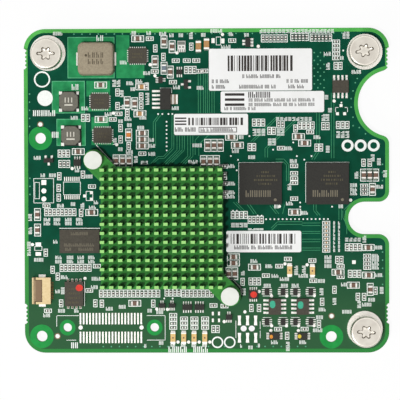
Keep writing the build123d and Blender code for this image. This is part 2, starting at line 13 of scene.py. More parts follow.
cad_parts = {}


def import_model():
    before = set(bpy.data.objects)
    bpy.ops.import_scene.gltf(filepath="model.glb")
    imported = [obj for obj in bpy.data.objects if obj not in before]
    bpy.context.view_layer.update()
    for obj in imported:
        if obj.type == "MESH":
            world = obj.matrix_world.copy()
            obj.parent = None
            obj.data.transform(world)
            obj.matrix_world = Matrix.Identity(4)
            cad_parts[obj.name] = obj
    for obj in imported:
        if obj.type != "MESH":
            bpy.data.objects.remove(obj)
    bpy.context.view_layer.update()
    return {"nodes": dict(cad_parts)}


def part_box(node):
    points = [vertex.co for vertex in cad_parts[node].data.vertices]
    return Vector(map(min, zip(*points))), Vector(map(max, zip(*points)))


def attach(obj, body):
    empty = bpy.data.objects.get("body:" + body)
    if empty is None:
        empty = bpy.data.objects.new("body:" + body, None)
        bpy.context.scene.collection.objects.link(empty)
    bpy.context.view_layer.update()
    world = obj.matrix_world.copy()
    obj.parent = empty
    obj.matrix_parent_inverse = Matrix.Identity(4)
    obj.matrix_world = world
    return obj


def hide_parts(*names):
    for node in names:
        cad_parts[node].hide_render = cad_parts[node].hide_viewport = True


LOG = logging.getLogger("network_card")

MM = 0.001
BODY = "card"
TRANSCEIVERS = ("transceiver_left", "transceiver_right")
# How far a thin layer is sunk into the face that carries it, and a part's foot into the board, in millimetres
SINK = 0.02
SEAT = 0.01
# Faces that meet at more than this angle keep a sharp edge on a smooth piece
SHARP_ANGLE = math.radians(40)

Place = tuple[float, float]
Point = tuple[float, float, float]
Level = tuple[float, float]
Sides = tuple[float, float, float, float]
Row = tuple[float, float, float, float]
Ticks = tuple[float, float, int]


class Layer(Enum):
    """How far each flat layer stands above the board's face, in millimetres."""

    POUR = 0.010
    TRACE = 0.016
    RING = 0.020
    PAD = 0.030
    INK = 0.040


class Heading(Enum):
    """The way that a leg or a chip end points on the board."""

    RIGHT = (1, 0)
    LEFT = (-1, 0)
    UP = (0, 1)
    DOWN = (0, -1)

    def ahead(self, place: Place, reach: float) -> Place:
        """Gives the place that lies a reach ahead of another."""
        return place[0] + self.value[0] * reach, place[1] + self.value[1] * reach


def linear(colour: str) -> tuple[float, float, float, float]:
    """Turns an sRGB hex colour into linear light.

    Args:
        colour: The colour as "#rrggbb".

    Returns:
        Red, green, blue and full opacity, linear.
    """
    parts = [int(colour[i:i + 2], 16) / 255 for i in (1, 3, 5)]
    red, green, blue = (p / 12.92 if p <= 0.04045 else ((p + 0.055) / 1.055) ** 2.4 for p in parts)
    return red, green, blue, 1.0


def add_node(tree: bpy.types.NodeTree, kind: str, settings: dict, links: dict) -> bpy.types.Node:
    """Adds a node with its settings and links.

    Args:
        tree: The node tree to add to.
        kind: The node's Blender type name.
        settings: Properties by name, or input values by socket name or number.
        links: Output sockets by the input name or number that they feed.

    Returns:
        The new node.
    """
    node = tree.nodes.new(kind)
    for key, value in settings.items():
        if isinstance(key, str) and hasattr(node, key):
            setattr(node, key, value)
        else:
            node.inputs[key].default_value = value
    for key, socket in links.items():
        tree.links.new(socket, node.inputs[key])
    return node


def calc(tree: bpy.types.NodeTree, operation: str, first: bpy.types.NodeSocket,
         second: bpy.types.NodeSocket | float = 0.0) -> bpy.types.NodeSocket:
    """Adds one sum.

    Args:
        tree: The node tree to add to.
        operation: Blender's name of the sum.
        first: The socket with the first number.
        second: The second number, or the socket that gives it.

    Returns:
        The socket with the result.
    """
    settings = {"operation": operation}
    links = {0: first}
    (settings if isinstance(second, float) else links)[1] = second
    return add_node(tree, "ShaderNodeMath", settings, links).outputs[0]


def run(x: float, y: float, step_x: float, step_y: float, count: int) -> list[Place]:
    """Lists places in a straight row.

    Args:
        x: First place along the board, in millimetres.
        y: First place across the board.
        step_x: Step along the board.
        step_y: Step across the board.
        count: How many places.

    Returns:
        The places, first one first.
    """
    return [(x + step_x * i, y + step_y * i) for i in range(count)]


def grid(columns: tuple[float, ...], rows: tuple[float, ...]) -> list[Place]:
    """Lists the places where columns and rows cross, column by column."""
    return [(x, y) for x in columns for y in rows]


def between(left: float, low: float, right: float, high: float) -> tuple[Place, Place]:
    """Gives a rectangle's middle and size from its sides."""
    return ((left + right) / 2, (low + high) / 2), (right - left, high - low)


def corners(place: Place, size: Place) -> list[Place]:
    """Lists a rectangle's corners, anticlockwise."""
    (x, y), a, b = place, size[0] / 2, size[1] / 2
    return [(x - a, y - b), (x + a, y - b), (x + a, y + b), (x - a, y + b)]


def circle(place: Place, reaches: list[float]) -> list[Place]:
    """Lists points round a middle, anticlockwise, each with its own reach."""
    turn = 2 * math.pi / len(reaches)
    return [
        (place[0] + reach * math.cos(turn * i), place[1] + reach * math.sin(turn * i))
        for i, reach in enumerate(reaches)
    ]


def lifted(outline: list[Place], height: float) -> list[Point]:
    """Lifts an outline to a height."""
    return [(x, y, height) for x, y in outline]


@dataclass(frozen=True)
class Finish:
    """A surface: what it is made of, its colours and its grain."""

    name: str
    colour: str
    roughness: float
    metallic: float = 0.0
    ior: float = 1.5
    tint: str = field(kw_only=True)
    grain_mm: float = 1.0
    grain_span: Place = (0.35, 0.65)
    bump_mm: float = 0.0
    bump_grain_mm: float = 0.3
    coat: float = 0.0
    # Upright walls' own colour, which on the heat sink is painted shade
    wall_colour_and_painted_shade: str = ""
    roughness_swing: float = 0.0
    gloss: float = 0.5
    # A colour faded in along one axis, which on the heat sink's pin tips is a painted highlight and on the
    # latch painted shade
    zone_colour_and_painted_light: str = ""
    zone_axis: str = "Z"
    zone_start_mm: float = 0.0
    zone_end_mm: float = 0.0

    def material(self) -> bpy.types.Material:
        """Makes the finish's material, or finds it if it is already made.

        Returns:
            The material.
        """
        made = bpy.data.materials.get(self.name)
        if made is None:
            made = bpy.data.materials.new(self.name)
            made.use_nodes = True
            self._paint(made.node_tree)
        return made

    def _paint(self, tree: bpy.types.NodeTree) -> None:
        """Sets the shader's own sockets and adds the pattern.

        Args:
            tree: The material's node tree.
        """
        shader = tree.nodes["Principled BSDF"]
        values = {
            "Base Color": linear(self.colour), "Roughness": self.roughness, "Metallic": self.metallic,
            "Coat Weight": self.coat,
        }
        if not self.metallic:
            values |= {"IOR": self.ior, "Specular IOR Level": self.gloss}
        for socket, value in values.items():
            shader.inputs[socket].default_value = value
        where = add_node(tree, "ShaderNodeTexCoord", {}, {}).outputs["Object"]
        shade = self._grain_colour(tree, where)
        if self.zone_colour_and_painted_light:
            shade = self._zone_and_painted_light(tree, where, shade)
        if self.wall_colour_and_painted_shade:
            shade = self._split_walls_and_painted_shade(tree, shade)
        tree.links.new(shade, shader.inputs["Base Color"])
        if self.bump_mm:
            grit = self._noise(tree, where, self.bump_grain_mm, 3.0)
            relief = add_node(
                tree, "ShaderNodeBump", {"Strength": 1.0, "Distance": self.bump_mm * MM}, {"Height": grit},
            )
            tree.links.new(relief.outputs["Normal"], shader.inputs["Normal"])
        if self.roughness_swing:
            wear = self._noise(tree, where, self.grain_mm, 2.0)
            low, high = self.roughness - self.roughness_swing, self.roughness + self.roughness_swing
            swing = add_node(tree, "ShaderNodeMapRange", {"To Min": low, "To Max": high}, {"Value": wear})
            tree.links.new(swing.outputs["Result"], shader.inputs["Roughness"])

    def _noise(self, tree: bpy.types.NodeTree, where: bpy.types.NodeSocket, patch_mm: float,
               detail: float) -> bpy.types.NodeSocket:
        """Adds noise with patches of a real size, and gives its strength."""
        settings = {"Scale": 1 / (patch_mm * MM), "Detail": detail}
        return add_node(tree, "ShaderNodeTexNoise", settings, {"Vector": where}).outputs["Fac"]

    def _grain_colour(self, tree: bpy.types.NodeTree, where: bpy.types.NodeSocket) -> bpy.types.NodeSocket:
        """Adds the two-colour mottling.

        Args:
            tree: The material's node tree.
            where: The socket with the place on the object.

        Returns:
            The colour's socket.
        """
        ramp = add_node(tree, "ShaderNodeValToRGB", {}, {"Fac": self._noise(tree, where, self.grain_mm, 4.0)})
        for end, place, colour in zip(ramp.color_ramp.elements, self.grain_span, (self.tint, self.colour)):
            end.position = place
            end.color = linear(colour)
        return ramp.outputs["Color"]

    # Sockets 6 and 7 of a mix node are its two colours, and output 2 is the mixed colour.

    def _split_walls_and_painted_shade(self, tree: bpy.types.NodeTree, shade: bpy.types.NodeSocket) -> bpy.types.NodeSocket:
        """Gives upright walls their own colour: the laminate's own edge colour on the board, and painted
        shade on the heat sink's walls.

        Args:
            tree: The material's node tree.
            shade: The colour of the flat faces.

        Returns:
            The mixed colour's socket.
        """
        facing = add_node(tree, "ShaderNodeNewGeometry", {}, {})
        parts = add_node(tree, "ShaderNodeSeparateXYZ", {}, {"Vector": facing.outputs["True Normal"]})
        flat = calc(tree, "GREATER_THAN", calc(tree, "ABSOLUTE", parts.outputs["Z"]), 0.5)
        settings = {"data_type": "RGBA", 6: linear(self.wall_colour_and_painted_shade)}
        return add_node(tree, "ShaderNodeMix", settings, {0: flat, 7: shade}).outputs[2]

    def _zone_and_painted_light(self, tree: bpy.types.NodeTree, where: bpy.types.NodeSocket,
              shade: bpy.types.NodeSocket) -> bpy.types.NodeSocket:
        """Fades into another colour along one axis; on the heat sink's pin tips this is a painted highlight,
        and on the latch painted shade.

        Args:
            tree: The material's node tree.
            where: The socket with the place on the object.
            shade: The colour before the zone.

        Returns:
            The mixed colour's socket.
        """
        parts = add_node(tree, "ShaderNodeSeparateXYZ", {}, {"Vector": where})
        span = {"From Min": self.zone_start_mm * MM, "From Max": self.zone_end_mm * MM}
        share = add_node(tree, "ShaderNodeMapRange", span, {"Value": parts.outputs[self.zone_axis]})
        settings = {"data_type": "RGBA", 7: linear(self.zone_colour_and_painted_light)}
        return add_node(tree, "ShaderNodeMix", settings, {0: share.outputs["Result"], 6: shade}).outputs[2]


# Epoxy solder mask over copper planes, screen coated: dark bluish green with a soft satin gloss.
# It turns greyer towards the lower edge.
MASK = Finish(
    "solder_mask_over_copper", "#064a35", 0.5, ior=1.55, tint="#043e2b", grain_mm=5.0,
    wall_colour_and_painted_shade="#7f9a5c", bump_mm=0.01, bump_grain_mm=0.8, gloss=0.09,
    zone_colour_and_painted_light="#2f5839", zone_axis="Y", zone_start_mm=-14.0, zone_end_mm=-38.0,
)
# The same mask on bare glass-epoxy laminate: light comes back from the glass, so it is much brighter.
MASK_BARE = Finish(
    "solder_mask_on_laminate", "#58b455", 0.5, ior=1.55, tint="#4ca84b", grain_mm=3.0, gloss=0.2,
    zone_colour_and_painted_light="#2b7c39", zone_axis="Y", zone_start_mm=50.0, zone_end_mm=-50.0,
)
# The same, round a hole where the laminate was milled from both faces: a shade deeper.
MASK_RING = Finish(
    "solder_mask_round_hole", "#229243", 0.5, ior=1.55, tint="#1c863c", grain_mm=2.0, gloss=0.2,
)
# The mask over an outer copper area: the copper's glow lifts it to a mid green.
MASK_POUR = Finish("solder_mask_over_pour", "#2a9157", 0.5, ior=1.55, tint="#1c7847", grain_mm=2.4, gloss=0.2)
# The mask where it thins over the step at a copper edge: a pale green line.
MASK_EDGE = Finish("solder_mask_at_step", "#62b586", 0.5, ior=1.55, tint="#4fa374", grain_mm=1.2, gloss=0.2)
# The mask over a track: a thin line a little lighter than the field.
MASK_TRACE = Finish(
    "solder_mask_over_track", "#43906a", 0.5, ior=1.55, tint="#39835c", gloss=0.1,
)
# The mask drawn into a plated hole: a dull green dimple.
MASK_VIA = Finish("solder_mask_over_via", "#5aa681", 0.5, ior=1.55, tint="#4a9570", grain_mm=0.6)
# Screen-printed epoxy ink: matt white, a little thin so the green shows through.
INK = Finish("screen_printed_ink", "#f6f8f4", 0.7, tint="#ebf0ea", grain_mm=0.5)
# Tin dip on copper pads and legs: pale warm metal, softly rough.
TIN = Finish("dipped_tin", "#f8f6f1", 0.55, metallic=1.0, tint="#eeebe4", grain_mm=0.4, roughness_swing=0.06)
# Reflowed solder: bright grey metal with a frozen ripple.
SOLDER = Finish("reflowed_solder", "#f4f2ee", 0.45, metallic=1.0, tint="#e4e1db", grain_mm=0.3, bump_mm=0.01)
# Die-cast aluminium, green anodised: metal that keeps its sheen under a deep dye, grainy from the casting.
# The walls are painted darker, as painted shade on the pins' walls, and the cropped pin tips are painted pale
# green, as a painted highlight where the tops catch the light.
ANODISED = Finish(
    "green_anodised_casting", "#378b36", 0.42, metallic=0.25, tint="#2e7c2e", grain_mm=1.2,
    bump_mm=0.01, bump_grain_mm=0.5, roughness_swing=0.06, zone_colour_and_painted_light="#9cd57b", zone_start_mm=19.24,
    zone_end_mm=19.26, wall_colour_and_painted_shade="#184b20",
)
# Filled silicone gap pad, calendered: dull grey rubber.
PAD_RUBBER = Finish("silicone_gap_pad", "#8f9296", 0.85, ior=1.41, tint="#7f8286", grain_mm=0.6)
# Epoxy moulding compound out of a matt mould: warm near-black with fine glass grit.
MOULDED = Finish(
    "moulded_epoxy", "#2b2a26", 0.62, ior=1.55, tint="#23221f", grain_mm=0.5, bump_mm=0.012,
    bump_grain_mm=0.25, gloss=0.3,
)
# Memory and flash mouldings with a browner filler.
MOULDED_BROWN = Finish(
    "moulded_brown_epoxy", "#48443b", 0.62, ior=1.55, tint="#3e3a32", grain_mm=0.5, bump_mm=0.012,
    bump_grain_mm=0.25, gloss=0.3,
)
# Laser burn on the moulding: the filler shows as pale grey.
LASER = Finish("laser_mark", "#7d7666", 0.8, tint="#6f6959", grain_mm=0.3)
# A fainter burn for small rows.
LASER_FAINT = Finish("faint_laser_mark", "#57523f", 0.8, tint="#4d4837", grain_mm=0.3)
# Pad-printed ink on the inductors: warm white.
PAD_INK = Finish("pad_printed_ink", "#d9d5c8", 0.7, tint="#c9c5b8", grain_mm=0.3)
# Burnt marks on the pressed powder: dark brown.
BURN = Finish("burnt_mark", "#5a5142", 0.8, tint="#4d4537", grain_mm=0.3)
# Fuse cover glass: dull grey-green.
FUSE_GLASS = Finish("fuse_cover_glass", "#7d8178", 0.45, tint="#6c7068", grain_mm=0.4)
# Nylon, injection moulded: milky white with a soft shine.
NYLON = Finish("moulded_nylon", "#e4e6de", 0.45, ior=1.53, tint="#dcdfd6", grain_mm=3.0, bump_mm=0.004)
# Drawn spring wire, plated: bright grey.
WIRE = Finish("plated_spring_wire", "#b9bab6", 0.28, metallic=1.0, tint="#a2a39f", grain_mm=0.5)
# Pressed iron-powder compound: grainy warm grey, like fine stone.
POWDER = Finish(
    "pressed_iron_powder", "#a0957f", 0.75, tint="#908571", grain_mm=0.45, bump_mm=0.03,
    bump_grain_mm=0.35,
)
# Ferrite and resin, ground: dark grey-brown, dull; the unground base under it is near black.
FERRITE = Finish(
    "ground_ferrite", "#6b685d", 0.6, ior=1.6, tint="#5e5c53", grain_mm=0.4, bump_mm=0.01, gloss=0.4,
    zone_colour_and_painted_light="#1f1d1a", zone_start_mm=7.40, zone_end_mm=7.32,
)
# Clear-cast epoxy over a phosphor chip: cream, slightly shiny.
LAMP = Finish("cast_lamp_epoxy", "#e2c384", 0.3, ior=1.52, tint="#d6b16c", grain_mm=0.6, coat=0.3)
# Alumina, fired: clean white ceramic.
CERAMIC = Finish("fired_alumina", "#e9e8e2", 0.4, ior=1.76, tint="#dcdad2", grain_mm=0.4)
# Glass-filled nylon, moulded: cream with a satin face.
CREAM = Finish("moulded_cream_polyamide", "#e4cd9f", 0.5, ior=1.53, tint="#d8bf8e", grain_mm=0.8)
# Liquid-crystal polymer, moulded: brown, slightly streaked by the flow. From x = -52.5 mm rightwards it is
# painted darker: painted shade over the latch's groove.
BROWN = Finish(
    "moulded_brown_polymer", "#9a8465", 0.5, ior=1.6, tint="#8b7555", grain_mm=0.7,
    zone_colour_and_painted_light="#775f45", zone_axis="X", zone_start_mm=-52.9, zone_end_mm=-52.5,
)
# Hard gold over nickel on stamped contacts.
GOLD = Finish("plated_gold", "#d9b25a", 0.25, metallic=1.0, tint="#c59d48", grain_mm=0.5)
# Stamped contacts, painted dark brown: painted shade on the contact tails.
SHADED_CONTACT_METAL = Finish("bare_phosphor_bronze", "#8f6a43", 0.4, metallic=1.0, tint="#5f4329", grain_mm=0.5)
# Liquid-crystal polymer, moulded black: satin, slightly streaked.
BLACK = Finish("moulded_black_polymer", "#1d1d1c", 0.5, ior=1.6, tint="#262624", grain_mm=0.8)
# Nickel-plated steel, turned: pale warm grey with a soft, brushed sheen.
STEEL = Finish(
    "nickel_plated_steel", "#eae4d8", 0.33, metallic=1.0, tint="#e1dace", grain_mm=2.5, roughness_swing=0.05,
)
# The same plating on the sleeves, duller, and painted whiter: painted light on the flanges, which the screw
# heads shade.
SLEEVE_STEEL_PAINTED_WHITER = Finish(
    "tumbled_nickel_plate", "#fbf8f2", 0.65, metallic=1.0, tint="#f4f0e8", grain_mm=1.5, roughness_swing=0.05,
)
# The edge of a recess driven into the same steel, painted dark: painted shade where the recess walls fall
# into shadow.
RECESS_SHADE_STEEL = Finish("pressed_recess_edge", "#6f685c", 0.5, metallic=1.0, tint="#544e45", grain_mm=0.4)
# A copper tab and legs, solder plated and cropped: dull warm grey with the copper showing through.
PLATED_TAB = Finish("solder_plated_copper", "#aa9f90", 0.4, metallic=1.0, tint="#8f806d", grain_mm=0.9)
# Barium titanate chip, fired: pinkish brown, dull.
CHIP_BROWN = Finish("fired_brown_ceramic", "#6d5242", 0.55, ior=1.7, tint="#5b4234", grain_mm=0.4)
# The same in the smallest size, fired darker.
CHIP_DARK = Finish("fired_dark_ceramic", "#473630", 0.55, ior=1.7, tint="#3a2b26", grain_mm=0.3)
# A lighter fired mix: tan.
CHIP_TAN = Finish("fired_tan_ceramic", "#b58a58", 0.55, ior=1.7, tint="#a27746", grain_mm=0.4)
# A blue-grey fired mix.
CHIP_BLUE = Finish("fired_blue_ceramic", "#6f7c86", 0.55, ior=1.7, tint="#616e78", grain_mm=0.4)
# An orange moulded polymer part.
CHIP_ORANGE = Finish("moulded_orange_polymer", "#d0813a", 0.5, ior=1.55, tint="#bb7030", grain_mm=0.4)
# Glazed resistor top: near-black glass, shiny.
GLAZE = Finish("resistor_glaze", "#2b2b2c", 0.3, ior=1.55, tint="#39393a", grain_mm=0.3)
# Coated paper, thermal printed: bright white, matt.
PAPER = Finish("coated_label_paper", "#f1f1f0", 0.7, tint="#ededeb", grain_mm=4.0)
# Thermal print in the paper's coat: soft black.
PRINT = Finish("thermal_print", "#24201e", 0.75, tint="#302b29", grain_mm=0.3)
# The same print at half tone: mid grey.
PRINT_GREY = Finish("thermal_print_grey", "#3f3c39", 0.75, tint="#4b4845", grain_mm=0.3)
# Ink dots dabbed on by a marking pen: thick and slightly shiny.
RED_DOT = Finish("red_marking_paint", "#dc3a2c", 0.4, tint="#c93025", grain_mm=0.6)
GREEN_DOT = Finish("green_marking_paint", "#3fae8c", 0.4, tint="#369e7e", grain_mm=0.6)
ORANGE_DOT = Finish("orange_marking_paint", "#e09a35", 0.4, tint="#c8742b", grain_mm=0.6)
YELLOW_DOT = Finish("yellow_marking_paint", "#dcc542", 0.4, tint="#cbb437", grain_mm=0.6)


@dataclass
class Draft:
    """Points and faces of one piece, in millimetres, before it becomes a mesh."""

    points: list[Point] = field(default_factory=list)
    faces: list[tuple[int, ...]] = field(default_factory=list)

    def loft(self, levels: list[list[Point]]) -> None:
        """Adds a closed solid through outlines with the same number of points.

        Args:
            levels: The outlines, first to last, each anticlockwise seen from beyond the last.
        """
        start = len(self.points)
        count = len(levels[0])
        for outline in levels:
            self.points += outline
        last = start + count * (len(levels) - 1)
        self.faces.append(tuple(start + count - 1 - i for i in range(count)))
        self.faces.append(tuple(last + i for i in range(count)))
        for low in range(start, last, count):
            for i in range(count):
                j = (i + 1) % count
                self.faces.append((low + i, low + j, low + count + j, low + count + i))

    def slab(self, outline: list[Place], level: Level) -> None:
        """Adds a flat solid with an anticlockwise outline, between two heights."""
        self.loft([lifted(outline, height) for height in level])

    def box(self, place: Place, size: Place, level: Level) -> None:
        """Adds a block by its middle, its length and width, and its heights."""
        self.slab(corners(place, size), level)

    def disc(self, place: Place, radius: float, level: Level, sides: int = 16) -> None:
        """Adds a round plate drawn with straight sides."""
        self.slab(circle(place, [radius] * sides), level)

    def band(self, outer: list[Place], inner: list[Place], level: Level) -> None:
        """Adds a flat closed band between two outlines with the same number of points.

        Args:
            outer: The outer outline, anticlockwise.
            inner: The inner outline, point for point inside it.
            level: Heights of its lower and upper face.
        """
        start = len(self.points)
        count = len(outer)
        for height in level:
            self.points += lifted(outer, height) + lifted(inner, height)
        low_out, low_in, high_out, high_in = (start + count * i for i in range(4))
        for i in range(count):
            j = (i + 1) % count
            self.faces.append((high_out + i, high_out + j, high_in + j, high_in + i))
            self.faces.append((low_out + j, low_out + i, low_in + i, low_in + j))
            self.faces.append((low_out + i, low_out + j, high_out + j, high_out + i))
            self.faces.append((low_in + j, low_in + i, high_in + i, high_in + j))

    def ring(self, place: Place, inner: float, outer: float, level: Level, sides: int) -> None:
        """Adds a flat ring by its inner and outer radius."""
        self.band(circle(place, [outer] * sides), circle(place, [inner] * sides), level)

    def frame(self, place: Place, size: Place, line: float, level: Level) -> None:
        """Adds a rectangular outline by its outer size and the width of its line."""
        self.band(corners(place, size), corners(place, (size[0] - 2 * line, size[1] - 2 * line)), level)

    def stroke(self, path: Sequence[Place], width: float, level: Level) -> None:
        """Adds a line of one width along a path.

        Args:
            path: The points that it joins.
            width: Its width.
            level: Heights of its lower and upper face.
        """
        for (x0, y0), (x1, y1) in zip(path, path[1:]):
            reach = math.hypot(x1 - x0, y1 - y0)
            a, b = (x1 - x0) / reach * width / 2, (y1 - y0) / reach * width / 2
            outline = [
                (x0 - a + b, y0 - b - a), (x1 + a + b, y1 + b - a),
                (x1 + a - b, y1 + b + a), (x0 - a - b, y0 - b + a),
            ]
            self.slab(outline, level)

    def swept(self, place: Place, heading: Heading, width: float, section: list[Place],
              ground: float) -> None:
        """Adds a solid with one side section, such as a leg or a solder slope.

        Args:
            place: Where it starts.
            heading: The way that it points.
            width: Its width across that way.
            section: Its side outline, as reach and height, anticlockwise with reach to the right.
            ground: The height that section heights count from.
        """
        ahead_x, ahead_y = heading.value
        sides = []
        for half in (width / 2, -width / 2):
            root = (place[0] - ahead_y * half, place[1] + ahead_x * half)
            sides.append([(*heading.ahead(root, reach), ground + height) for reach, height in section])
        self.loft(sides)

    def helix(self, place: Place, section: list[Place], low: float, rise: float, steps: int,
              count: int) -> None:
        """Winds a section up round an upright axis.

        Args:
            place: The axis's place on the board.
            section: Its outline, as reach and height, anticlockwise with reach to the right.
            low: The height where its middle starts.
            rise: How far it climbs in a turn.
            steps: Steps in a turn.
            count: Steps in all.
        """
        start, sides = len(self.points), len(section)
        last = start + count * sides
        ways = circle((0.0, 0.0), [1.0] * steps)
        for i in range(count + 1):
            ahead_x, ahead_y = ways[i % steps]
            ground = low + rise * i / steps
            self.points += [
                (place[0] + reach * ahead_x, place[1] + reach * ahead_y, ground + height)
                for reach, height in section
            ]
        for near in range(start, last, sides):
            for i in range(sides):
                j = (i + 1) % sides
                self.faces.append((near + i, near + sides + i, near + sides + j, near + j))
        self.faces.append(tuple(start + i for i in range(sides)))
        self.faces.append(tuple(last + sides - 1 - i for i in range(sides)))

    def build(self, name: str, finish: Finish, slot: str = "", body: str = BODY, smooth: bool = False,
              stands_for: tuple[str, ...] = ()) -> None:
        """Turns the draft into a piece that rides on a body.

        Args:
            name: The piece's name.
            finish: What it is dressed in.
            slot: The record's material slot that it goes with, where there is one. Not used.
            body: The body that it rides on.
            smooth: Whether its faces shade as one smooth surface.
            stands_for: The nodes of the part that it replaces.
        """
        mesh = bpy.data.meshes.new(name)
        mesh.from_pydata([(x * MM, y * MM, z * MM) for x, y, z in self.points], [], self.faces)
        mesh.materials.append(finish.material())
        mesh.polygons.foreach_set("use_smooth", [smooth] * len(mesh.polygons))
        mesh.update()
        if smooth:
            mesh.set_sharp_from_angle(angle=SHARP_ANGLE)
        piece = bpy.data.objects.new(name, mesh)
        bpy.context.scene.collection.objects.link(piece)
        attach(piece, body)
        if stands_for:
            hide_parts(*stands_for)
        LOG.info("%s: %d faces, %s", name, len(self.faces), finish.name)


@dataclass
class Solid:
    """The box of one solid in a node, in millimetres."""

    low: Point
    high: Point

    @property
    def place(self) -> Place:
        """Gives its middle on the board."""
        return (self.low[0] + self.high[0]) / 2, (self.low[1] + self.high[1]) / 2

    @property
    def size(self) -> Place:
        """Gives its length and width."""
        return self.high[0] - self.low[0], self.high[1] - self.low[1]

    @property
    def top(self) -> float:
        """Gives the height of its upper face."""
        return self.high[2]

    def spot(self, x: float, y: float) -> Place:
        """Gives a place by its distance from the middle."""
        return self.place[0] + x, self.place[1] + y

    def over(self, rise: float) -> Level:
        """Gives the heights of a thin layer on its upper face."""
        return self.top - SINK, self.top + rise


@dataclass
class Card:
    """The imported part: its node objects and where their solids are."""

    nodes: dict[str, bpy.types.Object]

    def dress(self, finish: Finish, *names: str) -> None:
        """Puts a finish on nodes of the part.

        Args:
            finish: The finish.
            names: The nodes' names.
        """
        for name in names:
            for slot in self.nodes[name].material_slots:
                slot.material = finish.material()
            LOG.info("%s: dressed in %s", name, finish.name)

    def solids(self, name: str) -> list[Solid]:
        """Finds the separate solids of a node.

        Args:
            name: The node's name.

        Returns:
            One box per solid.
        """
        mesh = self.nodes[name].data
        keys = [tuple(round(c / MM, 3) for c in v.co) for v in mesh.vertices]
        parent = {key: key for key in keys}

        def root(key: Point) -> Point:
            """Follows the links to a group's first point.

            Args:
                key: A point of the group.

            Returns:
                The first point.
            """
            while parent[key] != key:
                parent[key] = parent[parent[key]]
                key = parent[key]
            return key

        for face in mesh.polygons:
            first = root(keys[face.vertices[0]])
            for i in face.vertices[1:]:
                parent[root(keys[i])] = first
        groups: dict[Point, list[Point]] = {}
        for key in parent:
            groups.setdefault(root(key), []).append(key)
        return [Solid(*(tuple(map(end, zip(*group))) for end in (min, max))) for group in groups.values()]

    def box(self, name: str) -> Solid:
        """Gives a node's box."""
        return Solid(*(tuple(c / MM for c in corner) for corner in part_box(name)))

    def rim(self, name: str) -> list[Place]:
        """Finds the outer outline of a flat node's upper face.

        Args:
            name: The node's name.

        Returns:
            The outline's points, anticlockwise.
        """
        mesh = self.nodes[name].data
        height = self.box(name).top
        edges: set[tuple[Place, Place]] = set()
        for face in mesh.polygons:
            points = [tuple(round(c / MM, 3) for c in mesh.vertices[i].co) for i in face.vertices]
            if all(abs(point[2] - height) < 0.001 for point in points):
                flat = [point[:2] for point in points]
                edges.update(zip(flat, flat[1:] + flat[:1]))
        after = {a: b for a, b in edges if (b, a) not in edges}
        outline = [min(after)]
        while after[outline[-1]] != outline[0]:
            outline.append(after[outline[-1]])
        return outline


def rounded(place: Place, half: Place, radius: float, steps: int = 8) -> list[Place]:
    """Draws a rectangle with round corners.

    Args:
        place: Its middle.
        half: Half of its length and width.
        radius: Its corner radius.
        steps: Straight sides per corner.

    Returns:
        Its points, anticlockwise.
    """
    outline = []
    for quarter, (way_x, way_y) in enumerate(((1, 1), (-1, 1), (-1, -1), (1, -1))):
        x = place[0] + way_x * (half[0] - radius)
        y = place[1] + way_y * (half[1] - radius)
        for i in range(steps + 1):
            angle = math.pi / 2 * (quarter + i / steps)
            outline.append((x + radius * math.cos(angle), y + radius * math.sin(angle)))
    return outline


def inset(outline: list[Place], distance: float) -> list[Place]:
    """Draws an outline inwards.

    Args:
        outline: Its points, anticlockwise.
        distance: How far each side moves in.

    Returns:
        The inner outline, point for point.
    """
    sharpest = 0.4
    inner = []
    for before, here, after in zip(outline[-1:] + outline[:-1], outline, outline[1:] + outline[:1]):
        a = Vector((here[0] - before[0], here[1] - before[1])).normalized()
        b = Vector((after[0] - here[0], after[1] - here[1])).normalized()
        # A point that repeats the one before it takes the way of the side after it.
        if not a.length:
            a = b
        normal = Vector((-(a.y + b.y), a.x + b.x)).normalized()
        reach = distance / max(sharpest, normal.dot(Vector((-a.y, a.x))))
        inner.append((here[0] + normal.x * reach, here[1] + normal.y * reach))
    return inner


def tick_cluster(ink: Draft, dice: random.Random, place: Place, count: int, level: Level, tall: float = 1.0,
                 line: float = 0.21, upright: bool = False) -> None:
    """Adds a cluster of plain upright tick marks, in pairs of mixed height.

    Args:
        ink: The draft to add to.
        dice: The random numbers that choose the ticks.
        place: The cluster's middle.
        count: How many pairs.
        level: The lower and upper height of the ink.
        tall: Height of a mark.
        line: Width of a line as a share of that height.
        upright: Whether the cluster reads upwards.
    """
    apart = 0.36 * tall
    for i in range(count):
        start = (i - count / 2) * 2.2 * apart
        for x, high in ((start, tall / 2), (start + apart, dice.choice((tall / 2, tall / 2, 0.0)))):
            path = [(x, -tall / 2), (x, high)]
            if upright:
                path = [(-y, x) for x, y in path]
            ink.stroke([(place[0] + x, place[1] + y) for x, y in path], line * tall, level)


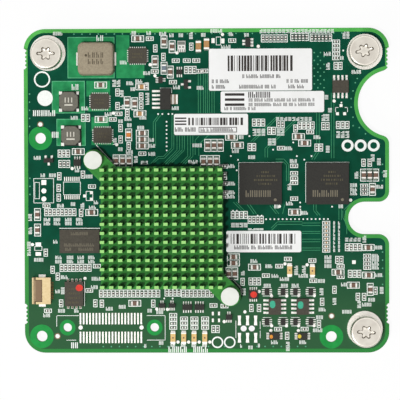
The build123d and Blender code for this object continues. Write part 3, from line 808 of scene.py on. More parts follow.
@dataclass
class BoardPrint:
    """The board's own layers: bare edge, copper areas, tracks, vias, pads and printed ink."""

    card: Card
    edge_width: float = 1.2
    stub_reach: float = 55.0
    stub_y: float = 39.4
    stub_half: float = 4.8
    ink_line: float = 0.17
    area_line: float = 0.22
    track_width: float = 0.18
    bright_via: float = 0.27
    covered_via: float = 0.23
    test_pad: float = 0.5
    sight_radii: Place = (0.65, 0.95)
    tick_height: float = 0.95
    large_tick: float = 1.5
    ball_pitch: float = 1.27
    ball_rows: int = 18
    ball_via: float = 0.26
    lane_count: int = 12
    lane_step: float = 1.7
    lane_pair: float = 0.55
    lane_start: Place = (2.5, 11.0)
    lane_bend: float = 6.0
    lane_end: float = 0.3
    lower_pad: float = 0.55
    socket_gap: float = 0.8
    seed: int = 7

    ring_places: tuple[Place, ...] = ((-51.2, 16.35), (-51.0, -44.9), (38.45, -45.1))
    ring_radii: Place = (1.68, 3.65)
    small_ring_places: tuple[Place, ...] = ((-43.05, -42.2), (-16.1, -42.2))
    small_ring_radii: Place = (1.33, 2.45)
    sight_places: tuple[Place, ...] = ((-51.2, 20.6), (-46.15, -44.85), (38.5, -38.7))

    # Copper areas by their left, lower, right and upper sides
    edged_areas: tuple[Sides, ...] = (
        (-42.7, 34.8, -28.2, 47.5), (-47.6, 24.0, -37.4, 34.0), (-46.2, 14.0, -37.2, 22.3),
    )
    plain_areas: tuple[Sides, ...] = (
        (-27.7, 34.8, -23.6, 48.0), (-23.6, 34.8, -19.0, 39.0), (-36.9, 29.2, -29.6, 34.0),
        (-36.6, 24.6, -29.4, 26.0), (-35.4, 14.2, -28.6, 15.6), (-35.4, 18.6, -30.0, 22.8),
    )
    bright_via_places: tuple[Place, ...] = (
        (-14.8, 23.7), (-13.5, 23.7), (-11.6, 23.7), (-10.4, 23.7), *run(-12.2, 21.3, 0, -1.26, 8),
        *run(18.4, -8.8, 1.27, 0, 16), (42.2, 43.0), (41.6, 27.0), (20.6, 12.6), (27.9, 10.6), (32.4, 10.6),
        (26.8, 14.8), (9.8, 9.5), (9.4, 6.3), (30.2, 9.5), (28.9, -3.7), (28.9, -5.0), (38.7, -5.0),
        (7.6, 10.7), (13.3, 16.8), (8.2, -6.2), (9.4, -6.2), (15.8, -7.7), (17.0, -7.7), (-13.1, -33.2),
        (-10.5, -33.2),
    )
    covered_via_places: tuple[Place, ...] = (
        *run(-54.5, 30.0, 0, -2.5, 6), *run(-54.5, 4.0, 0, -2.5, 3), *run(-40.7, 48.4, 2.5, 0, 34),
        *run(54.2, 8.0, 0, -2.5, 3), *run(54.2, -19.0, 0, -2.5, 6), *run(-32.0, -48.1, 2.5, 0, 26),
        (46.5, 34.4), (45.9, 33.1), (45.2, 30.6), (44.6, 28.2), (44.6, 25.6), (45.2, 22.5), (45.2, 19.9),
        (47.1, 19.3), (49.0, 17.4),
        *(place for row in range(11) for place in run(33.3 + 1.1 * (row % 2), 30.4 + 1.2 * row, 1.9, 0, 2)),
    )
    test_pad_places: tuple[Place, ...] = (
        (-8.9, 42.5), (-17.2, 38.9), (-15.7, 35.5), (5.1, 48.1), (16.1, 44.4), (-28.6, 24.0), (-27.6, 14.3),
        (-41.4, 7.0), (39.4, 27.5), (22.5, -4.85), (44.4, -3.0), (-53.8, -16.5), (24.2, -22.6),
        (31.0, -22.9), (16.2, -31.1), (11.8, -37.4), (5.4, -40.4), (-15.4, -36.5), (-12.1, -36.6),
        (20.0, -32.5), (24.7, -32.5), (28.4, -32.4), (33.2, -32.4), (20.0, -41.7), (24.6, -41.7),
        (28.3, -41.7), (33.1, -41.7), (19.8, -43.2), (28.3, -43.2), *run(-8.9, -46.7, 3.28, 0, 4),
        (-37.6, -27.0),
    )
    lower_pad_places: tuple[Place, ...] = (
        *run(-46.0, 30.0, 4.5, -1.1, 8), *run(14.0, -26.0, 3.4, 1.6, 8), *run(24.0, -36.0, 2.54, 0, 5),
    )

    # Bare pads of the empty places by their size, then the round and the waisted ones
    pad_places: tuple[tuple[Place, tuple[Place, ...]], ...] = (
        ((1.5, 1.5), ((-50.2, 2.7),)),
        ((0.3, 1.3), tuple(run(-43.75, 3.75, 0.635, 0, 8))),
        ((0.3, 1.2), tuple(run(-43.75, -1.9, 0.635, 0, 8))),
        ((0.9, 0.9), ((41.5, 26.1), (40.4, 23.6), (42.6, 23.6), (-35.5, -0.5), (-37.6, -1.5), (-35.5, -2.5))),
        ((1.0, 1.5), ((2.2, 46.2), (5.2, 46.1))),
        ((1.7, 1.1), ((-52.0, -16.4), (-52.0, -19.4))),
        ((1.1, 1.1), ((45.4, -22.1),)),
        ((0.6, 1.1), tuple(grid((1.9, 3.8), (-37.9, -40.0)))),
        ((0.5, 3.5), (*run(-39.05, -39.45, 0.99, 0, 20), *run(-39.05, -45.25, 0.99, 0, 20))),
    )
    round_pads: tuple[tuple[Place, float], ...] = (
        ((-50.2, 0.1), 0.78), ((-50.2, -2.4), 0.78), ((-39.0, -42.2), 0.65), ((-20.15, -42.2), 0.65),
    )
    waisted_pads: tuple[Place, ...] = tuple(grid((10.1, 12.6, 15.1), (-40.05, -45.4)))
    waist: tuple[Place, ...] = (
        (-0.52, -1.5), (0.52, -1.5), (0.38, 0.0), (0.52, 1.5), (-0.52, 1.5), (-0.38, 0.0),
    )
    empty_outlines: tuple[Sides, ...] = (
        (-53.4, -3.7, -47.1, 4.0), (-53.1, -2.4, -51.5, 2.8), (-44.2, -1.2, -38.8, 2.9),
        (-37.2, -3.0, -35.0, 0.0), (3.1, 44.8, 4.6, 47.4), (-53.2, -18.4, -50.8, -17.0),
    )
    empty_lines: tuple[tuple[Place, ...], ...] = (
        ((40.6, 25.5), (39.8, 25.5), (39.8, 24.2)), ((42.7, 25.5), (43.5, 25.5), (43.5, 24.2)),
        ((-39.6, -38.5), (-46.4, -38.5), (-46.4, -41.8)), ((-43.3, -46.1), (-40.5, -46.1)),
        ((-18.4, -38.5), (-12.85, -38.5), (-12.85, -46.1), (-18.4, -46.1)), ((9.0, -40.2), (9.0, -45.4)),
        ((16.5, -40.5), (16.5, -42.6)), ((16.5, -43.3), (16.5, -45.4)),
    )

    # Plain printed rings by their middle, inner and outer radius and number of sides, and a disc
    ink_rings: tuple[tuple[Place, float, float, int], ...] = (
        ((-50.6, 34.5), 2.05, 2.5, 40), ((3.3, -46.8), 1.35, 1.8, 40), ((7.1, -46.8), 1.35, 1.8, 40),
        *((place, 1.05, 1.85, 32) for place in run(43.5, 13.8, 4.0, 0, 3)),
    )
    ink_disc: tuple[Place, float] = ((-49.7, 28.7), 2.4)

    # Tick clusters by their middle and number of pairs: level, reading upwards, and large
    level_ticks: tuple[Ticks, ...] = (
        (-45.5, 48.6, 4), (-22.0, 48.7, 2), (-17.4, 48.6, 2), (-13.1, 48.4, 3), (-10.4, 47.9, 2),
        (-7.5, 47.9, 2), (-0.6, 48.0, 2), (3.4, 49.2, 5), (7.9, 48.2, 2), (12.7, 47.9, 2), (6.3, 44.3, 4),
        (37.5, 42.0, 3), (41.8, 40.7, 2), (46.4, 36.4, 4), (-25.3, 39.6, 3), (-18.1, 36.3, 3),
        (-30.0, 23.7, 3), (-37.2, 25.5, 3), (-40.5, 22.6, 3), (-23.9, 22.2, 3), (-19.3, 22.6, 3),
        (-9.3, 25.5, 3), (-8.9, 31.9, 3), (-1.6, 31.7, 3), (-23.5, 20.3, 2), (-20.0, 19.5, 3),
        (-16.6, 15.7, 2), (-16.6, 13.9, 3), (-23.5, 12.0, 3), (-16.6, 11.4, 3), (-52.0, 10.3, 3),
        (-39.7, 6.4, 2), (-36.0, 4.5, 3), (-47.3, 4.9, 3), (-50.3, 4.9, 2), (-33.9, -3.5, 2),
        (-41.0, -4.0, 2), (-35.0, -5.1, 3), (-44.9, -4.5, 3), (-51.7, -21.2, 4), (-46.5, -15.6, 2),
        (-33.9, -27.1, 4), (-43.8, -26.6, 3), (-34.5, -29.7, 3), (-45.9, -31.0, 2), (-49.3, -38.4, 3),
        (-44.7, -37.0, 3), (-29.9, -36.4, 3), (-25.9, -35.8, 3), (-40.1, -37.0, 2), (-17.4, -37.0, 2),
        (-14.3, -37.5, 3), (-18.8, -47.9, 1), (-13.9, -47.0, 2), (10.8, -47.9, 1), (13.7, -48.4, 2),
        (16.3, -47.8, 1), (21.1, -46.8, 3), (29.8, -46.8, 3), (18.9, -29.3, 3), (24.2, -29.3, 3),
        (27.5, -29.3, 3), (34.4, -43.1, 4), (35.0, -39.1, 3), (35.8, -36.7, 3), (14.8, -21.7, 3),
        (19.4, -23.3, 3), (21.3, -26.3, 3), (24.2, -27.3, 4), (30.0, -26.3, 4), (35.6, -27.9, 3),
        (37.6, -20.6, 3), (37.6, -21.9, 3), (37.6, -23.3, 3),
        *((52.2, y, 3) for y in (-20.2, -21.4, -22.6, -23.8)), (53.2, -17.6, 3), (53.2, -26.1, 3),
        (42.7, -29.0, 3), (49.5, -35.2, 4), (51.0, -33.7, 3), (43.4, -37.4, 4), (30.4, -6.9, 3),
        (21.8, -4.9, 2), (41.6, -4.9, 2), (7.9, 7.6, 3), (8.0, 2.2, 3), (7.9, -0.5, 3), (7.9, -1.8, 3),
        (27.0, 9.1, 3), (25.8, -4.0, 3), (45.5, 1.6, 3), (45.5, 0.3, 3), (45.5, -0.9, 3), (53.5, 1.1, 3),
        (25.6, 13.0, 3), (34.3, 16.4, 3), (11.0, 16.5, 2), (9.2, 12.2, 3), (14.2, 10.3, 3),
        (-20.5, 33.8, 3), (-23.3, 33.2, 3), (-22.4, 31.4, 2), (-26.3, 12.9, 2), (-26.2, 21.5, 2),
        (-2.6, 14.0, 4), (-3.9, 8.9, 4), (-18.9, 8.7, 3),
        *((x, -47.7, 2) for x in (-10.3, -7.1, -3.8, -0.5)),
    )
    upward_ticks: tuple[Ticks, ...] = (
        (-4.6, 48.0, 3), (42.6, 47.9, 3), (43.5, 47.9, 3), (37.5, 38.4, 3), (37.0, 28.9, 2),
        (38.1, 24.9, 2), (-28.3, 33.4, 3), (-27.0, 33.4, 3), (-28.2, 15.5, 3), (-38.3, -4.5, 3),
        (-54.5, -7.9, 3), (-54.5, -12.0, 3), (-54.9, -17.6, 6), (-44.5, -30.6, 3), (25.0, -47.9, 4),
        (35.4, -31.0, 3), (11.5, -31.0, 3), (11.2, -25.2, 2), (27.6, -24.4, 4), (30.0, -24.4, 4),
        (48.6, -14.8, 3), (39.4, -34.0, 3), (47.0, -35.0, 3), (53.9, -30.6, 3), (25.6, 1.4, 3),
        *((x, 17.4, 3) for x in (40.6, 42.0, 43.4)), (51.2, 10.2, 3), (53.1, 9.0, 3), (46.2, 4.9, 3),
        (55.0, 5.3, 3), (37.4, 12.9, 3), (-18.1, 28.6, 5), (-26.0, 30.2, 3), (-25.9, 26.1, 2),
        (-21.7, 9.9, 3), *((x, 18.2, 3) for x in (14.9, 16.2, 17.6, 22.3, 23.5)), (19.6, 15.2, 3),
        (20.9, 15.2, 3), (36.1, 22.6, 3), (37.3, 22.6, 3), *((x, -10.4, 2) for x in (8.2, 9.5, 10.8, 12.1)),
        *((x, -11.7, 1) for x in (13.4, 14.6, 15.8, 17.0)),
    )
    large_ticks: tuple[Ticks, ...] = (
        (-32.4, 47.1, 2), (-40.1, 32.1, 2), (-46.3, 17.4, 2), (-49.7, 24.1, 6), (-40.6, -47.7, 2),
        (-8.7, -49.0, 5), (-1.6, -49.0, 4),
    )
    # Rows of like clusters: their places, pairs, height, and whether they read upwards
    tick_rows: tuple[tuple[list[Place], int, float, bool], ...] = (
        (run(17.0, 49.2, 1.15, 0, 20), 2, 0.8, True),
        (run(22.0, 22.2, 1.25, 0, 9), 2, 0.8, True),
        (run(43.2, -15.0, 1.27, 0, 4), 2, 0.8, True),
        (grid((-45.6, -42.0, -38.7, -35.4), (-20.5, -21.8)), 3, 0.9, False),
        (grid((-49.1, -46.0, -42.5, -39.1), (-8.8, -10.0)), 3, 0.9, False),
        (run(39.5, -10.05, 0, -1.2, 8), 1, 0.85, False),
        (run(41.0, -10.05, 0, -1.2, 8), 1, 0.85, False),
    )

    def __post_init__(self) -> None:
        """Reads the board's faces from the part."""
        board = self.card.box("circuit_board")
        self.top = board.top
        self.bottom = board.low[2]
        self.half_length = board.high[0]
        self.dice = random.Random(self.seed)

    def level(self, layer: Layer) -> Level:
        """Gives a layer's heights on the upper face."""
        return self.top - SINK, self.top + layer.value

    def under(self, layer: Layer) -> Level:
        """Gives a layer's heights on the lower face."""
        return self.bottom - layer.value, self.bottom + SINK

    def build(self) -> None:
        """Builds every layer."""
        self.card.dress(MASK, "circuit_board")
        self.edge_band()
        self.pours()
        self.tracks()
        self.round_layers()
        self.footprints()
        self.plain_marks()
        self.designators()
        self.underside()

    def edge_band(self) -> None:
        """Builds the copper-free band along the edge, on both faces."""
        rim = self.card.rim("circuit_board")
        straight = []
        for x, y in rim:
            # The edge is notched beside a break-off stub, but the band's inner side runs straight past it.
            by_stub = abs(x) > self.stub_reach and abs(abs(y) - self.stub_y) < self.stub_half
            straight.append((math.copysign(self.half_length, x) if by_stub else x, y))
        for side, level in (("upper", self.level(Layer.POUR)), ("lower", self.under(Layer.POUR))):
            draft = Draft()
            draft.band(inset(rim, SINK), inset(straight, self.edge_width), level)
            draft.build("bare_edge_band_" + side, MASK_BARE, "solder_mask")

    def pours(self) -> None:
        """Builds the outer copper areas round the power parts."""
        areas, edges = Draft(), Draft()
        for sides in self.edged_areas + self.plain_areas:
            areas.box(*between(*sides), self.level(Layer.POUR))
        for sides in self.edged_areas:
            edges.frame(*between(*sides), self.area_line, self.level(Layer.TRACE))
        areas.build("copper_areas", MASK_POUR, "solder_mask")
        edges.build("copper_area_edges", MASK_EDGE, "solder_mask")

    def tracks(self) -> None:
        """Builds the tracks that show through the mask."""
        paths = [[(x, 24.0), (x, 36.0)] for x in (-2.4, -1.7, -0.8, -0.2, 0.4, 1.0, 1.8, 2.5)]
        paths += [[(-14.8 + s, 23.2), (-16.3 + s, 21.2), (-16.3 + s, 14.0)] for s in (0.0, 0.7)]
        paths += [
            [
                (-10.5 + s, 23.4), (-10.6 + s, 13.3 - 0.4 * s), (-13.2 + 0.4 * s, 10.6 - s),
                (-14.9 + 0.4 * s, 10.6 - s), (-17.0 + s, 8.5),
            ]
            for s in (0.0, 0.6)
        ]
        paths += [[(x, 17.0), (x, 12.6), (x - 4.4, 8.2)] for x in (-9.0, -8.2, -7.4, -6.7)]
        paths += [[(x, 17.0), (x, 10.7), (x - 2.5, 8.2)] for x in (-5.7, -4.9, -4.1)]
        paths += [[(-2.3, 16.8), (-3.4, 15.6), (-3.4, 11.2)], [(0.7, 17.1), (-2.3, 14.3), (-2.3, 10.9)]]
        paths += [[(x, 23.8), (x, 12.0), (x - 1.5, 9.6)] for x in (34.0, 34.8)]
        paths += [[(x, 10.0), (x, 30.0)] for x in (38.5, 39.3)]
        for s in (0.0, 0.8):
            paths += [
                [(21.9 + s, 23.0), (13.8 + s, 15.2)], [(27.3 + s, 21.8), (18.1 + s, 13.0), (18.1 + s, 10.3)],
                [(40.8 + s, -4.4), (40.8 + s, -9.0)], [(42.0 + s, -6.3), (42.0 + s, -8.4), (43.2 + s, -10.5)],
                [(33.0 + s, -4.4), (33.0 + s, -6.2), (34.2 + s, -7.6)], [(8.4 + s, -3.6), (11.9 + s, -7.1)],
                [(20.0, -12.3 + s), (21.9, -10.4 + s), (29.5, -10.4 + s)],
                [(12.7 + s, -4.4), (14.6 + s, -7.1)], [(19.6 + s, -4.7), (21.5 + s, -7.1)],
            ]
        for s in (0.0, 0.7):
            paths += [[(21.5, 9.7 - s), (23.9 - s / 2, 9.7 - s), (25.4 - s, 8.0), (25.4 - s, 3.0)]]
        paths += [[(24.1, -4.4), (23.5, -7.1)], [(43.2, -10.5), (43.2, -13.4)], [(44.3, -4.0), (42.5, -5.9)]]
        paths += [[(29.5, y), (35.0, y)] for y in (-10.8, -10.0, -13.2, -12.6, -15.8, -15.0, -18.4, -17.7)]
        draft = Draft()
        for path in paths:
            draft.stroke(path, self.track_width, self.level(Layer.TRACE))
        draft.build("tracks", MASK_TRACE, "solder_mask")

    def round_layers(self) -> None:
        """Builds the vias, the bare rings round plain holes, the round sighting marks and the test pads."""
        bright, covered, rings, grounds, sights, pads = (Draft() for _ in range(6))
        for place in self.bright_via_places:
            bright.disc(place, self.bright_via, self.level(Layer.PAD), 10)
        for place in self.covered_via_places:
            covered.disc(place, self.covered_via, self.level(Layer.TRACE), 10)
        for place in self.ring_places:
            rings.ring(place, *self.ring_radii, self.level(Layer.RING), 48)
        for place in self.small_ring_places:
            rings.ring(place, *self.small_ring_radii, self.level(Layer.RING), 48)
        for place in self.sight_places:
            sights.disc(place, self.sight_radii[0], self.level(Layer.PAD), 20)
            grounds.disc(place, self.sight_radii[1], self.level(Layer.RING), 24)
        for place in self.test_pad_places:
            pads.disc(place, self.test_pad, self.level(Layer.PAD))
        bright.build("bright_vias", INK, "tin")
        covered.build("covered_vias", MASK_VIA, "solder_mask")
        rings.build("bare_hole_rings", MASK_RING, "solder_mask")
        grounds.build("sighting_mark_grounds", BROWN, "solder_mask")
        sights.build("sighting_marks", INK, "tin")
        pads.build("test_pads", TIN, "tin")

    def footprints(self) -> None:
        """Builds the empty places: tinned pads and their printed outlines."""
        pads, ink = Draft(), Draft()
        pad_level, ink_level = self.level(Layer.PAD), self.level(Layer.INK)
        for size, places in self.pad_places:
            for place in places:
                pads.box(place, size, pad_level)
        for place, radius in self.round_pads:
            pads.disc(place, radius, pad_level)
        for x, y in self.waisted_pads:
            pads.slab([(x + across, y + along) for across, along in self.waist], pad_level)
        for sides in self.empty_outlines:
            ink.frame(*between(*sides), self.ink_line, ink_level)
        for path in self.empty_lines:
            ink.stroke(path, self.ink_line, ink_level)
        pads.build("bare_pads", TIN, "tin")
        ink.build("empty_place_outlines", INK, "label_paper")

    def plain_marks(self) -> None:
        """Builds plain rings and a disc where a board carries printed marks."""
        ink = Draft()
        level = self.level(Layer.INK)
        ink.disc(*self.ink_disc, level, 40)
        for place, inner, outer, sides in self.ink_rings:
            ink.ring(place, inner, outer, level, sides)
        ink.build("plain_ink_marks", INK, "label_paper")

    def designators(self) -> None:
        """Builds the small tick clusters beside the parts."""
        ink = Draft()
        rows = [([(x, y)], count, self.tick_height, False) for x, y, count in self.level_ticks]
        rows += [([(x, y)], count, self.tick_height, True) for x, y, count in self.upward_ticks]
        rows += [([(x, y)], count, self.large_tick, False) for x, y, count in self.large_ticks]
        for places, count, tall, upright in (*rows, *self.tick_rows):
            for place in places:
                tick_cluster(ink, self.dice, place, count, self.level(Layer.INK), tall, upright=upright)
        ink.build("printed_tick_marks", INK, "label_paper")

    def underside(self) -> None:
        """Builds the lower face: hole rings, the vias under the controller, tracks, test pads and print."""
        rings, vias, tracks, pads, ink = (Draft() for _ in range(5))
        for place in self.ring_places:
            rings.ring(place, *self.ring_radii, self.under(Layer.RING), 48)
        controller = self.card.box("controller_chip")
        reach = (self.ball_rows - 1) / 2 * self.ball_pitch
        for x, y in run(*controller.spot(-reach, -reach), 0, self.ball_pitch, self.ball_rows):
            for place in run(x, y, self.ball_pitch, 0, self.ball_rows):
                vias.disc(place, self.ball_via, self.under(Layer.RING), 10)
        socket = self.card.box("mezzanine_housing")
        # Track pairs run from the connector down to the controller's vias, and turn once on the way.
        end = controller.place[0] + reach + 1.1 * self.ball_pitch
        for i in range(self.lane_count):
            for apart in (0.0, self.lane_pair):
                x = socket.low[0] + self.lane_start[0] + self.lane_step * i + apart
                y = controller.place[1] + self.lane_start[1] - self.lane_step * i - apart
                turn = min(self.lane_bend, x - end - 0.5)
                path = [(x, socket.low[1] - 1.2), (x, y + turn), (x - turn, y), (end, y)]
                tracks.stroke(path, self.track_width, self.under(Layer.TRACE))
                vias.disc(path[-1], self.lane_end, self.under(Layer.RING), 10)
                pads.disc(path[0], self.lane_end, self.under(Layer.PAD), 12)
        ink_level = self.under(Layer.INK)
        for x, y in self.lower_pad_places:
            pads.disc((x, y), self.lower_pad, self.under(Layer.PAD))
            tick_cluster(ink, self.dice, (x, y + 1.4), 2, ink_level, self.tick_height)
        outline = (socket.size[0] + 2 * self.socket_gap, socket.size[1] + 2 * self.socket_gap)
        ink.frame(socket.place, outline, self.ink_line, ink_level)
        ink.disc((socket.low[0] - 1.8, socket.high[1] - 1.0), 0.5, ink_level)
        rings.build("lower_hole_rings", MASK_RING, "solder_mask")
        vias.build("lower_vias", MASK_VIA, "solder_mask")
        tracks.build("lower_tracks", MASK_TRACE, "solder_mask")
        pads.build("lower_test_pads", TIN, "tin")
        ink.build("lower_print", INK, "label_paper")


@dataclass
class ChipParts:
    """The two-ended chip parts: bodies, tinned ends, solder and printed outlines."""

    card: Card
    board_top: float
    ink_line: float = 0.22
    size: Point = (1.0, 0.5, 0.5)
    cap: float = 0.25
    fillet: float = 0.22
    medium_cap: float = 0.35
    large_cap: float = 0.55
    medium_fillet: float = 0.4
    skin: float = 0.02
    low_height: float = 0.6
    low_gap: float = 0.7
    high_gap: float = 0.95
    side_gap: float = 0.4
    odd_colours: tuple[tuple[Place, Finish], ...] = (((-12.9, 37.8), CHIP_BLUE), ((-23.9, 17.3), CHIP_ORANGE))

    # Middles of the small chip parts that lie along X and across it
    capacitors_along: tuple[Place, ...] = (
        (-17.3, 46.9), (-15.8, 36.8), (-10.2, 33.5), (-28.8, 22.1), (-27.0, 23.8), (-1.9, 36.8),
        (-0.5, 36.9), (8.1, 46.2), *run(40.0, 45.7, 0, -1.25, 5), (32.0, 18.0), (23.0, 13.05),
        (-49.4, -4.5), (5.4, 7.5), (5.5, 2.2), (5.5, -0.5), (5.5, -1.8), (27.05, 7.6), (27.05, 5.3),
        (27.05, 3.7), (27.05, 2.4), (27.05, -2.5), *run(48.6, 1.4, 0, -1.15, 3), (-33.9, -23.2),
        (25.1, -21.1), (32.6, -21.6), (22.4, -23.3), (18.3, -26.2), (32.9, -27.8), (41.3, -23.4),
        (41.3, -26.6), *run(49.5, -20.2, 0, -1.2, 4), (-36.3, -30.7), (-49.1, -37.0), (2.1, -35.4),
        (5.5, -35.6), (30.2, -42.75), (-19.7, 11.5),
    )
    capacitors_across: tuple[Place, ...] = (
        (-13.1, 41.3), *run(-6.1, 37.2, 1.25, 0, 3), (-18.3, 32.2), (-27.3, 30.4), (-24.3, 24.0),
        (-26.4, 19.4), (-26.4, 15.9), (-37.9, 22.6), (-36.5, 22.6), *run(17.6, 46.8, 1.15, 0, 7),
        *run(26.6, 47.2, 1.1, 0, 5), *run(32.6, 47.0, 1.1, 0, 6), (39.9, 38.3), (41.3, 38.3),
        *run(14.8, 20.95, 1.35, 0, 3), (22.3, 20.4), (23.5, 20.4), (19.5, 18.4), (20.8, 18.4),
        *run(28.8, 20.0, 1.3, 0, 4), (27.5, 19.1), (34.0, 13.2), (35.3, 13.2), (36.1, 19.8), (37.3, 19.8),
        *run(40.6, 20.1, 1.4, 0, 3), (13.4, 13.4), (14.7, 13.4), *run(-45.2, 11.6, 1.25, 0, 3),
        *run(-45.0, 8.4, 1.15, 0, 3), (-45.4, 4.6), (-38.1, 5.1), (-38.7, -6.7),
        *run(-49.45, -6.5, 1.23, 0, 8), (5.7, 4.6), *run(8.2, -7.5, 1.3, 0, 4), *run(13.4, -9.0, 1.2, 0, 4),
        (48.4, 8.5), (50.3, 8.5), (-47.6, -24.3), *run(-44.75, -23.7, 1.22, 0, 8), (11.1, -28.1),
        *run(43.3, -17.5, 1.27, 0, 4), (40.3, -21.4), (41.5, -21.4), *run(44.2, -25.7, 1.4, 0, 3),
        (39.4, -30.6), (46.6, -32.8), (48.5, -32.8), (52.0, -30.9), *run(-32.6, -31.7, 1.257, 0, 15),
        *run(-12.3, -31.4, 1.25, 0, 4), *run(-7.2, -31.7, 1.24, 0, 8), (-34.4, -34.7), (-32.4, -34.8),
        (-16.5, -34.8), (13.8, -36.2), (16.15, -36.2), (24.8, -44.8), (35.6, -34.3), (34.6, -41.1),
        (-23.9, 13.9), (-20.0, 29.1), (-20.0, 26.4),
    )
    tan_along: tuple[Place, ...] = tuple(run(36.9, -10.05, 0, -1.2, 8))
    resistors_along: tuple[Place, ...] = (
        (-5.9, 40.1), (-3.0, 40.1), (-35.3, 1.4), *run(-10.35, -38.4, 0, -1.27, 4),
        *run(-7.0, -39.5, 0, -1.35, 3), *run(-3.8, -39.5, 0, -1.35, 3), *run(-0.5, -39.5, 0, -1.35, 3),
        (22.0, -42.75), (-9.3, 40.1),
    )
    resistors_across: tuple[Place, ...] = (
        (-15.6, 43.9), (-4.5, 44.4), (-27.3, 26.2), (-45.6, 1.0), (-45.6, -2.0), (-49.7, -19.0),
        (-46.0, -26.4), *run(13.6, -28.0, 1.25, 0, 3), (-45.0, -34.7), (2.1, -42.7), (3.35, -42.7),
    )

    def build(self) -> None:
        """Builds the small chips and dresses the larger ones."""
        self.ends, self.solder, self.ink = (Draft() for _ in range(3))
        length, width, height = self.size
        brown = (self.capacitors_along, self.capacitors_across)
        resistors = (self.resistors_along, self.resistors_across)
        for name, finish, slot, rows in (
            ("small_brown_capacitors", CHIP_DARK, "capacitor_brown", brown),
            ("small_tan_capacitors", CHIP_TAN, "capacitor_tan", (self.tan_along,)),
            ("small_resistors", GLAZE, "chip_plastic", resistors),
        ):
            bodies = Draft()
            for places, size in zip(rows, ((length, width), (width, length))):
                for place in places:
                    bodies.box(place, size, (self.board_top - SEAT, self.board_top + height - self.skin))
                    self.chip(place, size, height, self.cap, self.fillet)
            bodies.build(name, finish, slot)
        for name, finish, cap in (
            ("medium_capacitors", CHIP_BROWN, self.medium_cap), ("tan_capacitors", CHIP_TAN, self.medium_cap),
            ("large_capacitors", CHIP_TAN, self.large_cap),
        ):
            self.card.dress(finish, name)
            for solid in self.card.solids(name):
                self.chip(solid.place, solid.size, solid.top - self.board_top, cap, self.medium_fillet)
        self.sleeves()
        self.ends.build("chip_ends", TIN, "tin")
        self.solder.build("chip_solder", SOLDER, "tin")
        self.ink.build("chip_outlines", INK, "label_paper")

    def chip(self, place: Place, size: Place, height: float, cap: float, fillet: float) -> None:
        """Adds one chip part's ends, solder and printed outline.

        Args:
            place: Its middle.
            size: Its length along X and its width along Y.
            height: Its height.
            cap: How far a tinned end reaches over it.
            fillet: How far the solder slopes out.
        """
        order = 1 if size[0] > size[1] else -1
        length, width = size[::order]
        end = (cap + 2 * self.skin, width + 2 * self.skin)
        end_level = (self.board_top - SEAT, self.board_top + height + self.skin)
        slope = [(0.0, -SEAT), (fillet, -SEAT), (fillet, 0.05)]
        slope += [(fillet * 0.45, height * 0.3), (0.0, height * 0.75)]
        for way in (Heading.RIGHT, Heading.LEFT) if order > 0 else (Heading.UP, Heading.DOWN):
            self.ends.box(way.ahead(place, (length - cap) / 2), end[::order], end_level)
            self.solder.swept(way.ahead(place, length / 2), way, width, slope, self.board_top)
        # The large capacitors have no printed outline.
        if cap < self.large_cap:
            gap = self.low_gap if height < self.low_height else self.high_gap
            shell = (length + 2 * gap, width + 2 * self.side_gap)
            level = (self.board_top - SEAT, self.board_top + Layer.INK.value)
            self.ink.frame(place, shell[::order], self.ink_line, level)

    def sleeves(self) -> None:
        """Covers the bodies of the two odd-coloured chips."""
        for solid in self.card.solids("medium_capacitors"):
            for place, finish in self.odd_colours:
                if math.dist(place, solid.place) < 0.5:
                    size = (solid.size[0] + 2 * self.skin, solid.size[1] - 2 * self.medium_cap)
                    cover = Draft()
                    cover.box(solid.place, size, (self.board_top - SEAT, solid.top + self.skin))
                    cover.build(finish.name.split("_")[1] + "_chip_body", finish)


